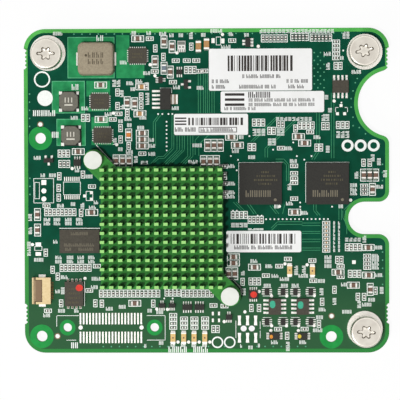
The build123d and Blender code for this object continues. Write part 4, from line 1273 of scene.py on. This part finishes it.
@dataclass
class LeadedChips:
    """The chips with legs or hidden balls: small legs, pads, paint dots and plain laser marks."""

    card: Card
    board_top: float
    leg_reach: float = 0.5
    leg_width: float = 0.25
    wide_leg: float = 0.5
    wide_pitch: float = 0.9
    leg_height: float = 0.4
    leg_gauge: float = 0.13
    leg_root: float = 0.05
    pad_reach: float = 0.8
    pad_margin: float = 0.25
    six_pitch: float = 0.65
    rim_pitch: float = 0.65
    rim_pad: Place = (0.32, 0.7)
    rim_shift: float = 0.05
    burn_rise: float = 0.012
    paint_rise: float = 0.03
    paint_roundness: float = 0.97
    bend_shares: Place = (0.32, 0.88)
    bend_share: float = 0.2
    bend_rise: float = 0.02
    print_gap: float = 0.3
    seed: int = 21

    # Rows of faint strokes: height from the chip's middle, start, end and height of a stroke
    transceiver_rows: tuple[Row, ...] = (
        (3.6, 0.2, 2.6, 0.6), (2.4, -1.2, 4.0, 0.6), (1.2, -2.0, 4.8, 0.6), (0.0, -0.6, 3.4, 0.6),
    )
    flash_rows: tuple[Row, ...] = tuple((y, -1.9, 1.6, 0.6) for y in (1.6, 0.2, -1.2, -2.6))
    power_rows: tuple[Row, ...] = ((0.5, -1.6, 1.4, 0.5), (-0.5, -1.6, 1.0, 0.5))
    stroke_widths: tuple[float, ...] = (0.18, 0.3, 0.45)
    stroke_gaps: tuple[float, ...] = (0.2, 0.3, 0.45)
    # Bold ticks on the memory: place along the board, height from its middle and number of pairs
    memory_ticks: tuple[Ticks, ...] = ((-39.0, 2.4, 8), (-39.1, -1.1, 14), (-42.5, -2.4, 3), (-37.0, -2.4, 7))

    # Legs of each small chip by its place: left, right, up and down, and their pitch
    small_legs: tuple[tuple[Place, tuple[int, int, int, int], float], ...] = (
        ((-14.0, 34.2), (3, 2, 0, 0), 0.65), ((-8.2, 36.6), (0, 0, 3, 3), 0.65),
        ((-6.2, 32.8), (1, 2, 0, 0), 1.9), ((12.9, 45.6), (2, 3, 0, 0), 0.95),
        ((-48.65, 9.5), (0, 0, 2, 1), 1.9), ((-39.8, 8.8), (0, 0, 3, 3), 0.75),
        ((-13.8, -35.4), (0, 0, 2, 3), 0.65), ((-10.7, -35.4), (0, 0, 2, 3), 0.65),
        ((-6.0, -35.9), (0, 0, 4, 4), 0.75), ((-2.25, -35.9), (0, 0, 4, 4), 0.75),
        ((6.85, -39.0), (0, 0, 2, 3), 0.65), ((14.4, -32.0), (0, 0, 4, 4), 0.65),
        ((20.9, -44.85), (4, 4, 0, 0), 0.55), ((29.5, -44.9), (4, 4, 0, 0), 0.55),
    )
    # Marking paint dots: the chip, the dot's middle and its half length and width
    paint: tuple[tuple[str, Finish, tuple[tuple[str, Place, Place], ...]], ...] = (
        ("red_paint_dots", RED_DOT, (
            ("flash_chip", (-39.2, -29.8), (1.1, 1.0)), ("small_chips", (14.5, -32.0), (1.0, 0.95)),
        )),
        ("green_paint_dots", GREEN_DOT, (
            ("eight_lead_chips", (20.3, -35.0), (0.85, 1.15)),
            ("eight_lead_chips", (28.9, -35.2), (0.85, 1.15)),
        )),
        ("orange_paint_dot", ORANGE_DOT, (("small_chips", (19.9, -45.0), (0.5, 0.6)),)),
        ("yellow_paint_dot", YELLOW_DOT, (("small_chips", (28.6, -44.9), (0.55, 0.6)),)),
    )

    def build(self) -> None:
        """Builds the legs and marks and dresses the chips."""
        self.card.dress(
            MOULDED, *TRANSCEIVERS, "regulator_body", "six_lead_chips", "small_chips", "controller_chip",
        )
        self.card.dress(MOULDED_BROWN, "memory_chip", "flash_chip", "power_chips", "eight_lead_chips")
        self.card.dress(TIN, "regulator_legs", "eight_lead_legs")
        self.card.dress(PLATED_TAB, "flash_legs", "regulator_tab")
        self.card.dress(PAD_RUBBER, "thermal_pad")
        self.legs, self.pads = Draft(), Draft()
        self.small()
        self.big_pads()
        self.legs.build("small_chip_legs", TIN, "tin")
        self.pads.build("chip_pads", SOLDER, "tin")
        self.marks()
        self.dots()
        self.tab_bends()
        self.outlines()

    def side(self, solid: Solid, way: Heading, count: int, pitch: float) -> None:
        """Adds the bent legs along one side of a chip, each on its pad.

        Args:
            solid: The chip's body.
            way: The side.
            count: How many legs.
            pitch: Their pitch.
        """
        high, gauge, reach, root = self.leg_height, self.leg_gauge, self.leg_reach, -self.leg_root
        section = [
            (root, high - gauge), (reach * 0.25, high - gauge), (reach * 0.4, 0.0), (reach, 0.0),
            (reach, gauge), (reach * 0.62, gauge), (reach * 0.42, high), (root, high),
        ]
        wide = self.wide_leg if pitch > self.wide_pitch else self.leg_width
        ground = self.board_top + Layer.PAD.value
        ahead_x, ahead_y = map(abs, way.value)
        pad = (self.pad_reach, wide * 1.35)
        for i in range(count):
            shift = (i - (count - 1) / 2) * pitch
            start = way.ahead(solid.spot(ahead_y * shift, ahead_x * shift), solid.size[ahead_y] / 2)
            self.legs.swept(start, way, wide, section, ground)
            middle = way.ahead(start, self.pad_reach * 0.6)
            self.pads.box(middle, pad if ahead_x else pad[::-1], (self.board_top - SEAT, ground + SEAT))

    def small(self) -> None:
        """Adds legs to the six-lead and the other small chips."""
        for solid in self.card.solids("six_lead_chips"):
            for way in (Heading.LEFT, Heading.RIGHT):
                self.side(solid, way, 3, self.six_pitch)
        ways = (Heading.LEFT, Heading.RIGHT, Heading.UP, Heading.DOWN)
        for solid in self.card.solids("small_chips"):
            for place, counts, pitch in self.small_legs:
                if math.dist(place, solid.place) < 0.4:
                    for way, count in zip(ways, counts):
                        self.side(solid, way, count, pitch)

    def big_pads(self) -> None:
        """Adds the solder under the longer legs and round the leadless chips."""
        level = (self.board_top - SEAT, self.board_top + Layer.PAD.value)
        for name in ("eight_lead_legs", "flash_legs", "regulator_legs"):
            for solid in self.card.solids(name):
                size = (solid.size[0] + self.pad_margin, solid.size[1] + self.pad_margin)
                self.pads.box(solid.place, size, level)
        pitch, shift = self.rim_pitch, self.rim_shift
        for solid in self.card.solids("power_chips"):
            for way in (-1, 1):
                for place in run(*solid.spot(-3.5 * pitch, way * (solid.size[1] / 2 + shift)), pitch, 0, 8):
                    self.pads.box(place, self.rim_pad, level)
                for place in run(*solid.spot(way * (solid.size[0] / 2 + shift), -2.5 * pitch), 0, pitch, 6):
                    self.pads.box(place, self.rim_pad[::-1], level)

    def marks(self) -> None:
        """Builds plain rows of short strokes, tick clusters and a dot on the bigger chips."""
        dice = random.Random(self.seed)
        faint, bold = Draft(), Draft()
        rows = [(self.card.box(name), self.transceiver_rows) for name in TRANSCEIVERS]
        rows.append((self.card.box("flash_chip"), self.flash_rows))
        rows += [(solid, self.power_rows) for solid in self.card.solids("power_chips")]
        for solid, y, x, end, tall in ((solid, *row) for solid, chip_rows in rows for row in chip_rows):
            while x < end:
                wide = dice.choice(self.stroke_widths)
                faint.box(solid.spot(x + wide / 2, y), (wide, tall), solid.over(self.burn_rise))
                x += wide + dice.choice(self.stroke_gaps)
        for solid in map(self.card.box, TRANSCEIVERS):
            burn = solid.over(self.burn_rise)
            tick_cluster(bold, dice, solid.spot(-0.4, -3.0), 6, burn, 1.7, 0.2)
            bold.disc(solid.spot(4.5, -4.9), 0.45, burn)
        memory = self.card.box("memory_chip")
        for x, y, count in self.memory_ticks:
            place = (x, memory.place[1] + y)
            tick_cluster(bold, dice, place, count, memory.over(self.burn_rise), 0.85, 0.16)
        faint.build("faint_laser_marks", LASER_FAINT, "chip_plastic")
        bold.build("bold_laser_marks", LASER, "chip_plastic")

    def dots(self) -> None:
        """Builds the marking paint dots."""
        for name, finish, spots in self.paint:
            draft = Draft()
            for chip, place, half in spots:
                outline = rounded(place, half, min(half) * self.paint_roundness)
                draft.slab(outline, self.card.box(chip).over(self.paint_rise))
            draft.build(name, finish)

    def tab_bends(self) -> None:
        """Builds two tin strips across the regulator's tab: painted highlights where its bends catch the
        light.
        """
        tab = self.card.box("regulator_tab")
        bends = Draft()
        for share in self.bend_shares:
            place = (tab.low[0] + share * tab.size[0], tab.place[1])
            bends.box(place, (self.bend_share * tab.size[0], tab.size[1] - 0.1), tab.over(self.bend_rise))
        bends.build("tab_bends", TIN, "tin")

    def outlines(self) -> None:
        """Builds the printed lines round the bigger chips."""
        lines = []
        for solid in map(self.card.box, TRANSCEIVERS):
            left, right, high = solid.low[0] - 0.2, solid.high[0] + 0.2, solid.high[1] + 0.2
            lines.append(([(left, solid.low[1] + 0.6), (left, high), (right, high)], 0.14))
        flash, regulator, memory = map(self.card.box, ("flash_chip", "regulator_body", "memory_chip"))
        x = flash.high[0] + self.print_gap
        lines.append(([(x, flash.low[1]), (x, flash.high[1])], 0.15))
        right, high = regulator.high[0] + self.print_gap, regulator.high[1] + self.print_gap
        lines.append(([(regulator.low[0], high), (right, high), (right, high - 1.5)], 0.18))
        y = memory.high[1] + 0.4
        lines.append(([(memory.low[0], y), (memory.high[0], y)], 0.25))
        for solid in self.card.solids("six_lead_chips"):
            for way in (-1, 1):
                y = way * (solid.size[1] / 2 + self.print_gap)
                lines.append(([solid.spot(-1.2, y), solid.spot(1.2, y)], 0.16))
        lines.append(([(-33.9, 14.2), (-31.6, 11.7), (-28.3, 8.3)], 0.22))
        lines.append(([(5.9, -25.0), (10.6, -30.0), (10.75, -32.1)], 0.22))
        ink = Draft()
        for path, width in lines:
            ink.stroke(path, width, (self.board_top - SEAT, self.board_top + Layer.INK.value))
        ink.build("chip_print_lines", INK, "label_paper")


@dataclass
class PowerParts:
    """The inductors, lamps and fuse."""

    card: Card
    board_top: float
    choke_radius: float = 1.6
    # How far the large inductor is drawn in at each height above its foot
    choke_rings: tuple[Place, ...] = (
        (0.0, 0.0), (0.12, 2.2), (0.2, 3.4), (0.32, 3.72), (0.55, 3.92), (0.9, 4.0),
    )
    choke_bar: Place = (2.5, 0.45)
    choke_tick: Place = (0.3, 1.5)
    pad_ink_rise: float = 0.015
    burn_rise: float = 0.012
    foot_inset: float = 0.45
    foot_height: float = 0.73
    lamp_cap: float = 0.4
    lamp_chip: Place = (0.45, 0.5)
    skin: float = 0.02
    cover_rise: float = 0.03
    seed: int = 5

    def build(self) -> None:
        """Dresses the power parts and adds their marks and feet."""
        self.card.dress(POWDER, "choke_large")
        self.card.dress(FERRITE, "chokes_small")
        self.card.dress(TIN, "choke_large_feet")
        self.card.dress(LAMP, "lamps")
        self.card.dress(CERAMIC, "fuse")
        self.ends = Draft()
        self.small_chokes()
        self.large_choke()
        self.lamp_ends()
        self.ends.build("power_part_ends", TIN, "tin")
        self.fuse()
        self.lamp_chips()

    def small_chokes(self) -> None:
        """Builds the small inductors' printed strokes, and adds their tinned feet."""
        ink = Draft()
        for solid in self.card.solids("chokes_small"):
            level = solid.over(self.pad_ink_rise)
            ink.box(solid.spot(0.0, -1.1), self.choke_bar, level)
            for place in run(*solid.spot(-1.0, 0.4), 1.0, 0, 3):
                ink.box(place, self.choke_tick, level)
            reach = [side / 2 - self.foot_inset for side in solid.size]
            for way_x, way_y in grid((-1, 1), (-1, 1)):
                size = (0.95 if way_x < 0 else 0.7, 0.95)
                level = (self.board_top - SEAT, self.board_top + self.foot_height)
                self.ends.box(solid.spot(way_x * reach[0], way_y * reach[1]), size, level)
        ink.build("choke_marks", PAD_INK, "label_paper")

    def large_choke(self) -> None:
        """Builds the large inductor with rounded corners and a soft upper edge, and its burnt marks."""
        box = self.card.box("choke_large")
        levels = []
        for draw_in, height in self.choke_rings:
            half = (box.size[0] / 2 - draw_in, box.size[1] / 2 - draw_in)
            levels.append(lifted(rounded(box.place, half, self.choke_radius), box.low[2] + height))
        body, marks = Draft(), Draft()
        body.loft(levels)
        body.build("large_choke_body", POWDER, "choke_grey", smooth=True, stands_for=("choke_large",))
        dice = random.Random(self.seed)
        burn = box.over(self.burn_rise)
        for y in (1.0, -1.0):
            for place in run(*box.spot(-1.6, y), 1.3, 0, 4):
                tick_cluster(marks, dice, place, 1, burn, 1.35, 0.2)
        marks.disc(box.spot(-2.9, 0.9), 0.4, burn)
        marks.build("large_choke_marks", BURN, "choke_grey")

    def lamp_ends(self) -> None:
        """Adds the lamps' tinned ends and the solder beside them."""
        for solid in self.card.solids("lamps"):
            length, width = solid.size
            for way in (-1, 1):
                cap = solid.spot(0.0, way * (width / 2 - self.lamp_cap / 2 + self.skin))
                size = (length + 2 * self.skin, self.lamp_cap)
                self.ends.box(cap, size, (self.board_top - SEAT, solid.top + self.skin))
                pad = solid.spot(0.0, way * (width / 2 + 0.25))
                self.ends.box(pad, (length * 0.9, 0.55), (self.board_top - SEAT, self.board_top + 0.1))

    def fuse(self) -> None:
        """Builds the fuse's cover: a bar, two dots and a row of four short bars."""
        cover = Draft()
        fuse = self.card.box("fuse")
        length, width = fuse.size
        level = fuse.over(self.cover_rise)
        cover.box(fuse.spot(0.0, 0.3 * width), (0.9 * length, 0.3 * width), level)
        for way in (-1, 1):
            cover.disc(fuse.spot(way * 0.2 * length, -0.05 * width), 0.3, level)
        for place in run(*fuse.spot(-0.36 * length, -0.38 * width), 0.24 * length, 0, 4):
            cover.box(place, (0.1 * length, 0.24 * width), level)
        cover.build("fuse_cover", FUSE_GLASS, "white_ceramic")

    def lamp_chips(self) -> None:
        """Builds the chips that show in the lamps."""
        lens = Draft()
        for solid in self.card.solids("lamps"):
            lens.box(solid.place, self.lamp_chip, solid.over(self.skin))
        lens.build("lamp_chips", CHIP_BROWN, "lamp_cream")


@dataclass
class HeatSinkSet:
    """The heat sink, its push pins and their coil springs."""

    card: Card
    wire: float = 0.5
    wire_sides: int = 8
    turns: int = 4
    steps: int = 22

    def build(self) -> None:
        """Dresses the sink and pins, and winds the springs."""
        self.card.dress(ANODISED, "heat_sink")
        self.card.dress(NYLON, "push_pins")
        draft = Draft()
        for solid in self.card.solids("push_pin_springs"):
            section = circle(((solid.size[0] - self.wire) / 2, 0.0), [self.wire / 2] * self.wire_sides)
            low, high = solid.low[2] + self.wire / 2, solid.top - self.wire / 2
            rise = (high - low) / self.turns
            draft.helix(solid.place, section, low, rise, self.steps, self.turns * self.steps)
        draft.build("push_pin_coils", WIRE, "spring_steel", smooth=True, stands_for=("push_pin_springs",))


@dataclass
class Screws:
    """The three captive screws in their sleeves."""

    card: Card
    pitch: float = 0.7
    depth: float = 0.28
    thread_span: Place = (0.6, 4.2)
    thread_root: float = 0.05
    thread_share: float = 0.42
    steps: int = 24
    shank_radius: float = 1.75
    shank_point: float = 0.4
    head_height: float = 3.0
    head_bevel: float = 0.2
    rim: float = 0.7
    lobe_root: float = 1.45
    lobe: float = 2.05
    long_lobe: float = 2.75
    lobe_half: float = 0.5
    recess_steps: int = 96
    # The recess from its edge inwards: the share of its reach, and the depth
    recess_levels: tuple[Place, ...] = ((1.0, 0.0), (0.97, 0.7), (0.8, 1.0), (0.3, 1.1))
    # The dark band at the recess's upper edge, which is painted shade: its outer and inner share of the
    # recess's reach, and its depth
    edge_shares: Place = (1.04, 0.9)
    edge_depth: float = 0.9
    turns: tuple[tuple[str, float], ...] = (("upper_left", 0.0), ("upper_right", 12.0), ("lower_right", -3.0))

    def build(self) -> None:
        """Dresses the sleeves and turns the screws, the dark bands of painted shade at their recess edges,
        and their threads.
        """
        self.card.dress(SLEEVE_STEEL_PAINTED_WHITER, "screw_sleeves")
        for corner, degrees in self.turns:
            node, body, turn = "captive_screw_" + corner, "screw_" + corner, math.radians(degrees)
            self.card.dress(STEEL, node)
            solid = self.card.box(node)
            head, edge, ridge = (Draft() for _ in range(3))
            head.loft(self.turned(solid, turn))
            outlines = (self.lobes(solid.place, turn, share) for share in self.edge_shares)
            edge.band(*outlines, (solid.top - self.edge_depth, solid.top + 0.01))
            self.thread(ridge, solid)
            head.build("turned_screw_" + corner, STEEL, "plated_steel", body, smooth=True, stands_for=(node,))
            edge.build("recess_edge_" + corner, RECESS_SHADE_STEEL, "plated_steel", body)
            ridge.build("thread_" + corner, STEEL, "plated_steel", body)

    def recess(self, angle: float) -> float:
        """Gives how far the recess reaches at an angle: six rounded lobes, two of them longer.

        Args:
            angle: The angle from the long lobes.

        Returns:
            The distance from the middle.
        """
        reach = self.lobe_root
        for i in range(6):
            end = (self.long_lobe if i % 3 == 0 else self.lobe) - self.lobe_half
            off = abs((angle - i * math.pi / 3 + math.pi) % (2 * math.pi) - math.pi)
            if off < math.atan(self.lobe_half / end):
                cap = math.sqrt(self.lobe_half ** 2 - (end * math.sin(off)) ** 2)
                reach = max(reach, end * math.cos(off) + cap)
            elif off < math.pi / 2:
                reach = max(reach, self.lobe_half / math.sin(off))
        return reach

    def lobes(self, place: Place, turn: float, share: float) -> list[Place]:
        """Lists the recess outline, drawn in to a share of its reach."""
        angles = (2 * math.pi * i / self.recess_steps - turn for i in range(self.recess_steps))
        return circle(place, [share * self.recess(angle) for angle in angles])

    def turned(self, solid: Solid, turn: float) -> list[list[Point]]:
        """Draws one screw: shank, head with a rounded rim, and its recess.

        Args:
            solid: The box that the screw fills.
            turn: How far its recess is turned.

        Returns:
            Its outlines, from the foot up and into the recess.
        """
        foot, top, radius, bevel = solid.low[2], solid.top, solid.size[0] / 2, self.head_bevel
        under, curl = top - self.head_height, top - self.rim
        profile = [
            (self.shank_radius - self.shank_point, foot), (self.shank_radius, foot + self.shank_point),
            (self.shank_radius, under), (radius - bevel, under), (radius, under + bevel), (radius, curl),
        ]
        profile += [(radius - self.rim + x, curl + y) for x, y in circle((0.0, 0.0), [self.rim] * 24)[1:7]]
        outlines = [(circle(solid.place, [reach] * self.recess_steps), height) for reach, height in profile]
        outlines += [(self.lobes(solid.place, turn, share), top - deep) for share, deep in self.recess_levels]
        return [lifted(outline, height) for outline, height in outlines]

    def thread(self, draft: Draft, solid: Solid) -> None:
        """Adds a helical ridge round a screw's shank.

        Args:
            draft: The draft to add to.
            solid: The box that the screw fills.
        """
        inner, half = self.shank_radius - self.thread_root, self.pitch * self.thread_share
        section = [(inner, -half), (self.shank_radius + self.depth, 0.0), (inner, half)]
        low, high = (solid.low[2] + height for height in self.thread_span)
        count = int((high - low) / self.pitch * self.steps)
        draft.helix(solid.place, section, low, self.pitch, self.steps, count)


@dataclass
class Sockets:
    """The flat-flex socket at the left edge and the mezzanine connector underneath."""

    card: Card
    lip_width: float = 0.4
    lip_margin: float = 0.02
    lip_rise: float = 0.02

    def build(self) -> None:
        """Dresses both connectors and adds the pale lip on the latch."""
        self.card.dress(CREAM, "flex_housing")
        self.card.dress(BROWN, "flex_latch")
        self.card.dress(SHADED_CONTACT_METAL, "flex_contacts")
        self.card.dress(TIN, "flex_tabs")
        self.card.dress(BLACK, "mezzanine_housing")
        self.card.dress(GOLD, "mezzanine_contacts")
        latch = self.card.box("flex_latch")
        place = (latch.low[0] + self.lip_margin + self.lip_width / 2, latch.place[1])
        lip = Draft()
        lip.box(place, (self.lip_width, latch.size[1] - 0.1), latch.over(self.lip_rise))
        lip.build("latch_lip", CREAM, "brown_plastic", "latch")


@dataclass
class PaperLabels:
    """The four paper labels with plain stripes."""

    card: Card
    ink_rise: float = 0.01
    ink_line: float = 0.22
    bar_widths: tuple[float, ...] = (0.2, 0.2, 0.35, 0.55, 0.75)
    bar_gaps: tuple[float, ...] = (0.2, 0.2, 0.35, 0.6)
    # Steps from tick to tick, as shares of their height
    tick_steps: tuple[float, ...] = (0.78, 0.78, 0.78, 1.3)
    seed: int = 12

    def build(self) -> None:
        """Dresses the paper and prints the stripes, label by label from the top."""
        self.card.dress(PAPER, "label_upper", "label_middle", "label_short", "label_lower")
        self.dice = random.Random(self.seed)
        self.level = self.card.box("label_upper").over(self.ink_rise)
        self.dark, self.grey = Draft(), Draft()
        self.upper()
        self.middle()
        self.short()
        self.lower()
        self.dark.build("label_stripes", PRINT)
        self.grey.build("label_tick_rows", PRINT_GREY)

    def bars(self, left: float, right: float, low: float, high: float) -> None:
        """Prints a field of upright stripes of mixed width.

        Args:
            left: Left side of the field.
            right: Right side of the field.
            low: Lower side of the field.
            high: Upper side of the field.
        """
        x = left
        while x < right - 0.4:
            wide = self.dice.choice(self.bar_widths)
            self.dark.box(*between(x, low, x + wide, high), self.level)
            x += wide + self.dice.choice(self.bar_gaps)

    def ticks(self, left: float, right: float, y: float, tall: float, ink: Draft) -> None:
        """Prints a row of short meaningless ticks.

        Args:
            left: Where the row starts.
            right: Where it ends.
            y: Its middle height on the board.
            tall: Height of a tick.
            ink: The draft that holds the ticks.
        """
        x = left + 0.3 * tall
        while x < right - 0.3 * tall:
            tick_cluster(ink, self.dice, (x, y), 1, self.level, tall, self.ink_line)
            x += self.dice.choice(self.tick_steps) * tall

    def stripes(self, left: float, right: float, low: float, high: float) -> None:
        """Prints three plain level stripes.

        Args:
            left: Left side of the stripes.
            right: Right side of the stripes.
            low: Lower side of the lowest stripe.
            high: Upper side of the highest stripe.
        """
        thick = (high - low) / 5
        for y in (low, low + 2 * thick, low + 4 * thick):
            self.dark.box(*between(left, y, right, y + thick), self.level)

    def upper(self) -> None:
        """Prints the large label."""
        self.bars(6.7, 27.3, 36.8, 41.6)
        for left, right, y in (
            (11.4, 23.6, 35.2), (2.0, 8.0, 33.7), (25.0, 31.6, 33.7), (2.0, 6.5, 32.0), (10.4, 22.0, 32.0),
            (25.5, 31.0, 32.0),
        ):
            self.ticks(left, right, y, 0.95, self.dark)

    def middle(self) -> None:
        """Prints the label below it."""
        self.stripes(5.8, 11.8, 26.1, 30.0)
        self.ticks(13.3, 20.9, 29.5, 1.5, self.dark)
        for left, right, y in ((13.3, 33.8, 27.9), (13.3, 34.0, 26.5), (5.8, 15.5, 25.3)):
            self.ticks(left, right, y, 0.85, self.grey)

    def short(self) -> None:
        """Prints the short label."""
        self.stripes(-9.6, -6.1, 20.3, 22.6)
        self.bars(-5.5, 11.8, 20.2, 22.5)
        self.ticks(-9.4, -2.7, 18.9, 1.1, self.dark)
        self.dark.frame((3.6, 18.8), (11.8, 1.7), self.ink_line, self.level)
        self.ticks(-1.5, 8.9, 18.8, 0.9, self.dark)

    def lower(self) -> None:
        """Prints the lower label."""
        self.bars(7.5, 27.9, -16.4, -13.3)
        self.ticks(8.8, 26.9, -17.5, 1.0, self.dark)


@dataclass
class Studio:
    """A white floor, soft lamps and the camera."""

    eye: Point = (10.4, 8.0, 556.6)
    aim: Point = (-1.96, -2.84, 6.6)
    roll: float = 0.00297
    focal: float = 160.6
    sensor: float = 36.0
    floor_half: float = 6000.0
    floor_colour: str = "#f4f3f0"
    floor_glow: float = 0.94
    key_place: Point = (-260.0, -300.0, 420.0)
    key_size: float = 200.0
    key_power: float = 1.1
    top_place: Point = (-130.0, -125.0, 950.0)
    top_size: float = 30.0
    top_power: float = 6.2
    sky_low: float = 0.05
    sky_high: float = 0.34
    sky_lift: float = 3.0
    # How bright mirrored sky is at each height: a light tent, darker at the horizon and round the lens
    mirrored_sky: tuple[Place, ...] = ((0.0, 0.03), (0.3, 0.3), (0.6, 1.0), (0.85, 0.95), (1.0, 0.55))
    mirrored_gain: float = 1.38

    def build(self) -> None:
        """Sets up the whole studio."""
        scene = bpy.context.scene
        scene.view_settings.view_transform = "Standard"
        self.world(scene)
        self.floor()
        self.lamp("key_lamp", self.key_place, self.key_size, self.key_power)
        top = self.lamp("top_lamp", self.top_place, self.top_size, self.top_power)
        top.visible_glossy = False
        self.camera(scene)

    def world(self, scene: bpy.types.Scene) -> None:
        """Makes an even sky that the camera sees as white.

        Args:
            scene: The scene that gets it.
        """
        world = bpy.data.worlds.new("studio_sky")
        world.use_nodes = True
        tree = world.node_tree
        ray = add_node(tree, "ShaderNodeLightPath", {}, {})
        where = add_node(tree, "ShaderNodeTexCoord", {}, {})
        parts = add_node(tree, "ShaderNodeSeparateXYZ", {}, {"Vector": where.outputs["Generated"]})
        lift = calc(tree, "POWER", calc(tree, "MAXIMUM", parts.outputs["Z"], 0.0), self.sky_lift)
        level = add_node(
            tree, "ShaderNodeMapRange", {"To Min": self.sky_low, "To Max": self.sky_high}, {"Value": lift},
        )
        tent = add_node(tree, "ShaderNodeValToRGB", {}, {"Fac": parts.outputs["Z"]})
        steps = tent.color_ramp.elements
        while len(steps) < len(self.mirrored_sky):
            steps.new(0.5)
        for step, (place, glow) in zip(steps, self.mirrored_sky):
            step.position = place
            step.color = (glow, glow, glow, 1.0)
        gain = calc(tree, "MULTIPLY", tent.outputs[0], self.mirrored_gain)
        # Sockets 2 and 3 of the mix node are its two plain numbers.
        links = {0: ray.outputs["Is Glossy Ray"], 2: level.outputs["Result"], 3: gain}
        sky = add_node(tree, "ShaderNodeMix", {}, links).outputs[0]
        seen = calc(tree, "MAXIMUM", sky, ray.outputs["Is Camera Ray"])
        background = tree.nodes["Background"].inputs
        background["Color"].default_value = linear("#ffffff")
        tree.links.new(seen, background["Strength"])
        scene.world = world

    def floor(self) -> None:
        """Lays a white floor under the card that still takes its shadow."""
        mesh = bpy.data.meshes.new("floor")
        side = 2 * self.floor_half * MM
        mesh.from_pydata(lifted(corners((0.0, 0.0), (side, side)), 0.0), [], [(0, 1, 2, 3)])
        floor = bpy.data.objects.new("floor", mesh)
        bpy.context.scene.collection.objects.link(floor)
        material = bpy.data.materials.new("white_paper_floor")
        material.use_nodes = True
        tree = material.node_tree
        tree.nodes.remove(tree.nodes["Principled BSDF"])
        ray = add_node(tree, "ShaderNodeLightPath", {}, {}).outputs
        seen = calc(tree, "MAXIMUM", ray["Is Camera Ray"], ray["Is Glossy Ray"])
        seen = calc(tree, "MAXIMUM", seen, ray["Is Transmission Ray"])
        share = calc(tree, "MULTIPLY", seen, self.floor_glow)
        paper = add_node(tree, "ShaderNodeBsdfDiffuse", {"Color": linear(self.floor_colour)}, {})
        glow = add_node(tree, "ShaderNodeEmission", {"Color": linear("#ffffff"), "Strength": 1.0}, {})
        both = add_node(tree, "ShaderNodeMixShader", {}, {0: share, 1: paper.outputs[0], 2: glow.outputs[0]})
        tree.links.new(both.outputs[0], tree.nodes["Material Output"].inputs["Surface"])
        mesh.materials.append(material)

    def lamp(self, name: str, place: Point, size: float, power: float) -> bpy.types.Object:
        """Hangs a square soft lamp aimed at the card.

        Args:
            name: The lamp's name.
            place: Where it hangs, in millimetres.
            size: Its side.
            power: Its power in watts.

        Returns:
            The lamp.
        """
        light = bpy.data.lights.new(name, "AREA")
        light.size = size * MM
        light.energy = power
        lamp = bpy.data.objects.new(name, light)
        lamp.location = Vector(place) * MM
        lamp.rotation_euler = (-lamp.location).to_track_quat("-Z", "Y").to_euler()
        bpy.context.scene.collection.objects.link(lamp)
        return lamp

    def camera(self, scene: bpy.types.Scene) -> None:
        """Sets the camera above the card, at the photograph's angle.

        Args:
            scene: The scene that gets it.
        """
        data = bpy.data.cameras.new("card_camera")
        data.sensor_width = self.sensor
        data.lens = self.focal
        data.clip_start = 0.01
        back = (Vector(self.eye) - Vector(self.aim)).normalized()
        right = Vector((self.roll, 1.0, 0.0)).cross(back).normalized()
        turn = Matrix((right, back.cross(right), back)).transposed()
        camera = bpy.data.objects.new("card_camera", data)
        camera.matrix_world = Matrix.Translation(Vector(self.eye) * MM) @ turn.to_4x4()
        scene.collection.objects.link(camera)
        scene.camera = camera


def main() -> None:
    """Builds the card's dress in order."""
    logging.basicConfig(level=logging.INFO, format="%(message)s")
    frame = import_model()
    card = Card(frame["nodes"])
    board_top = card.box("circuit_board").top
    for assembly in (
        BoardPrint(card), ChipParts(card, board_top), LeadedChips(card, board_top),
        PowerParts(card, board_top), HeatSinkSet(card), Screws(card), Sockets(card), PaperLabels(card),
        Studio(),
    ):
        assembly.build()
        LOG.info("%s built", type(assembly).__name__)


if __name__ == "__main__":
    main()
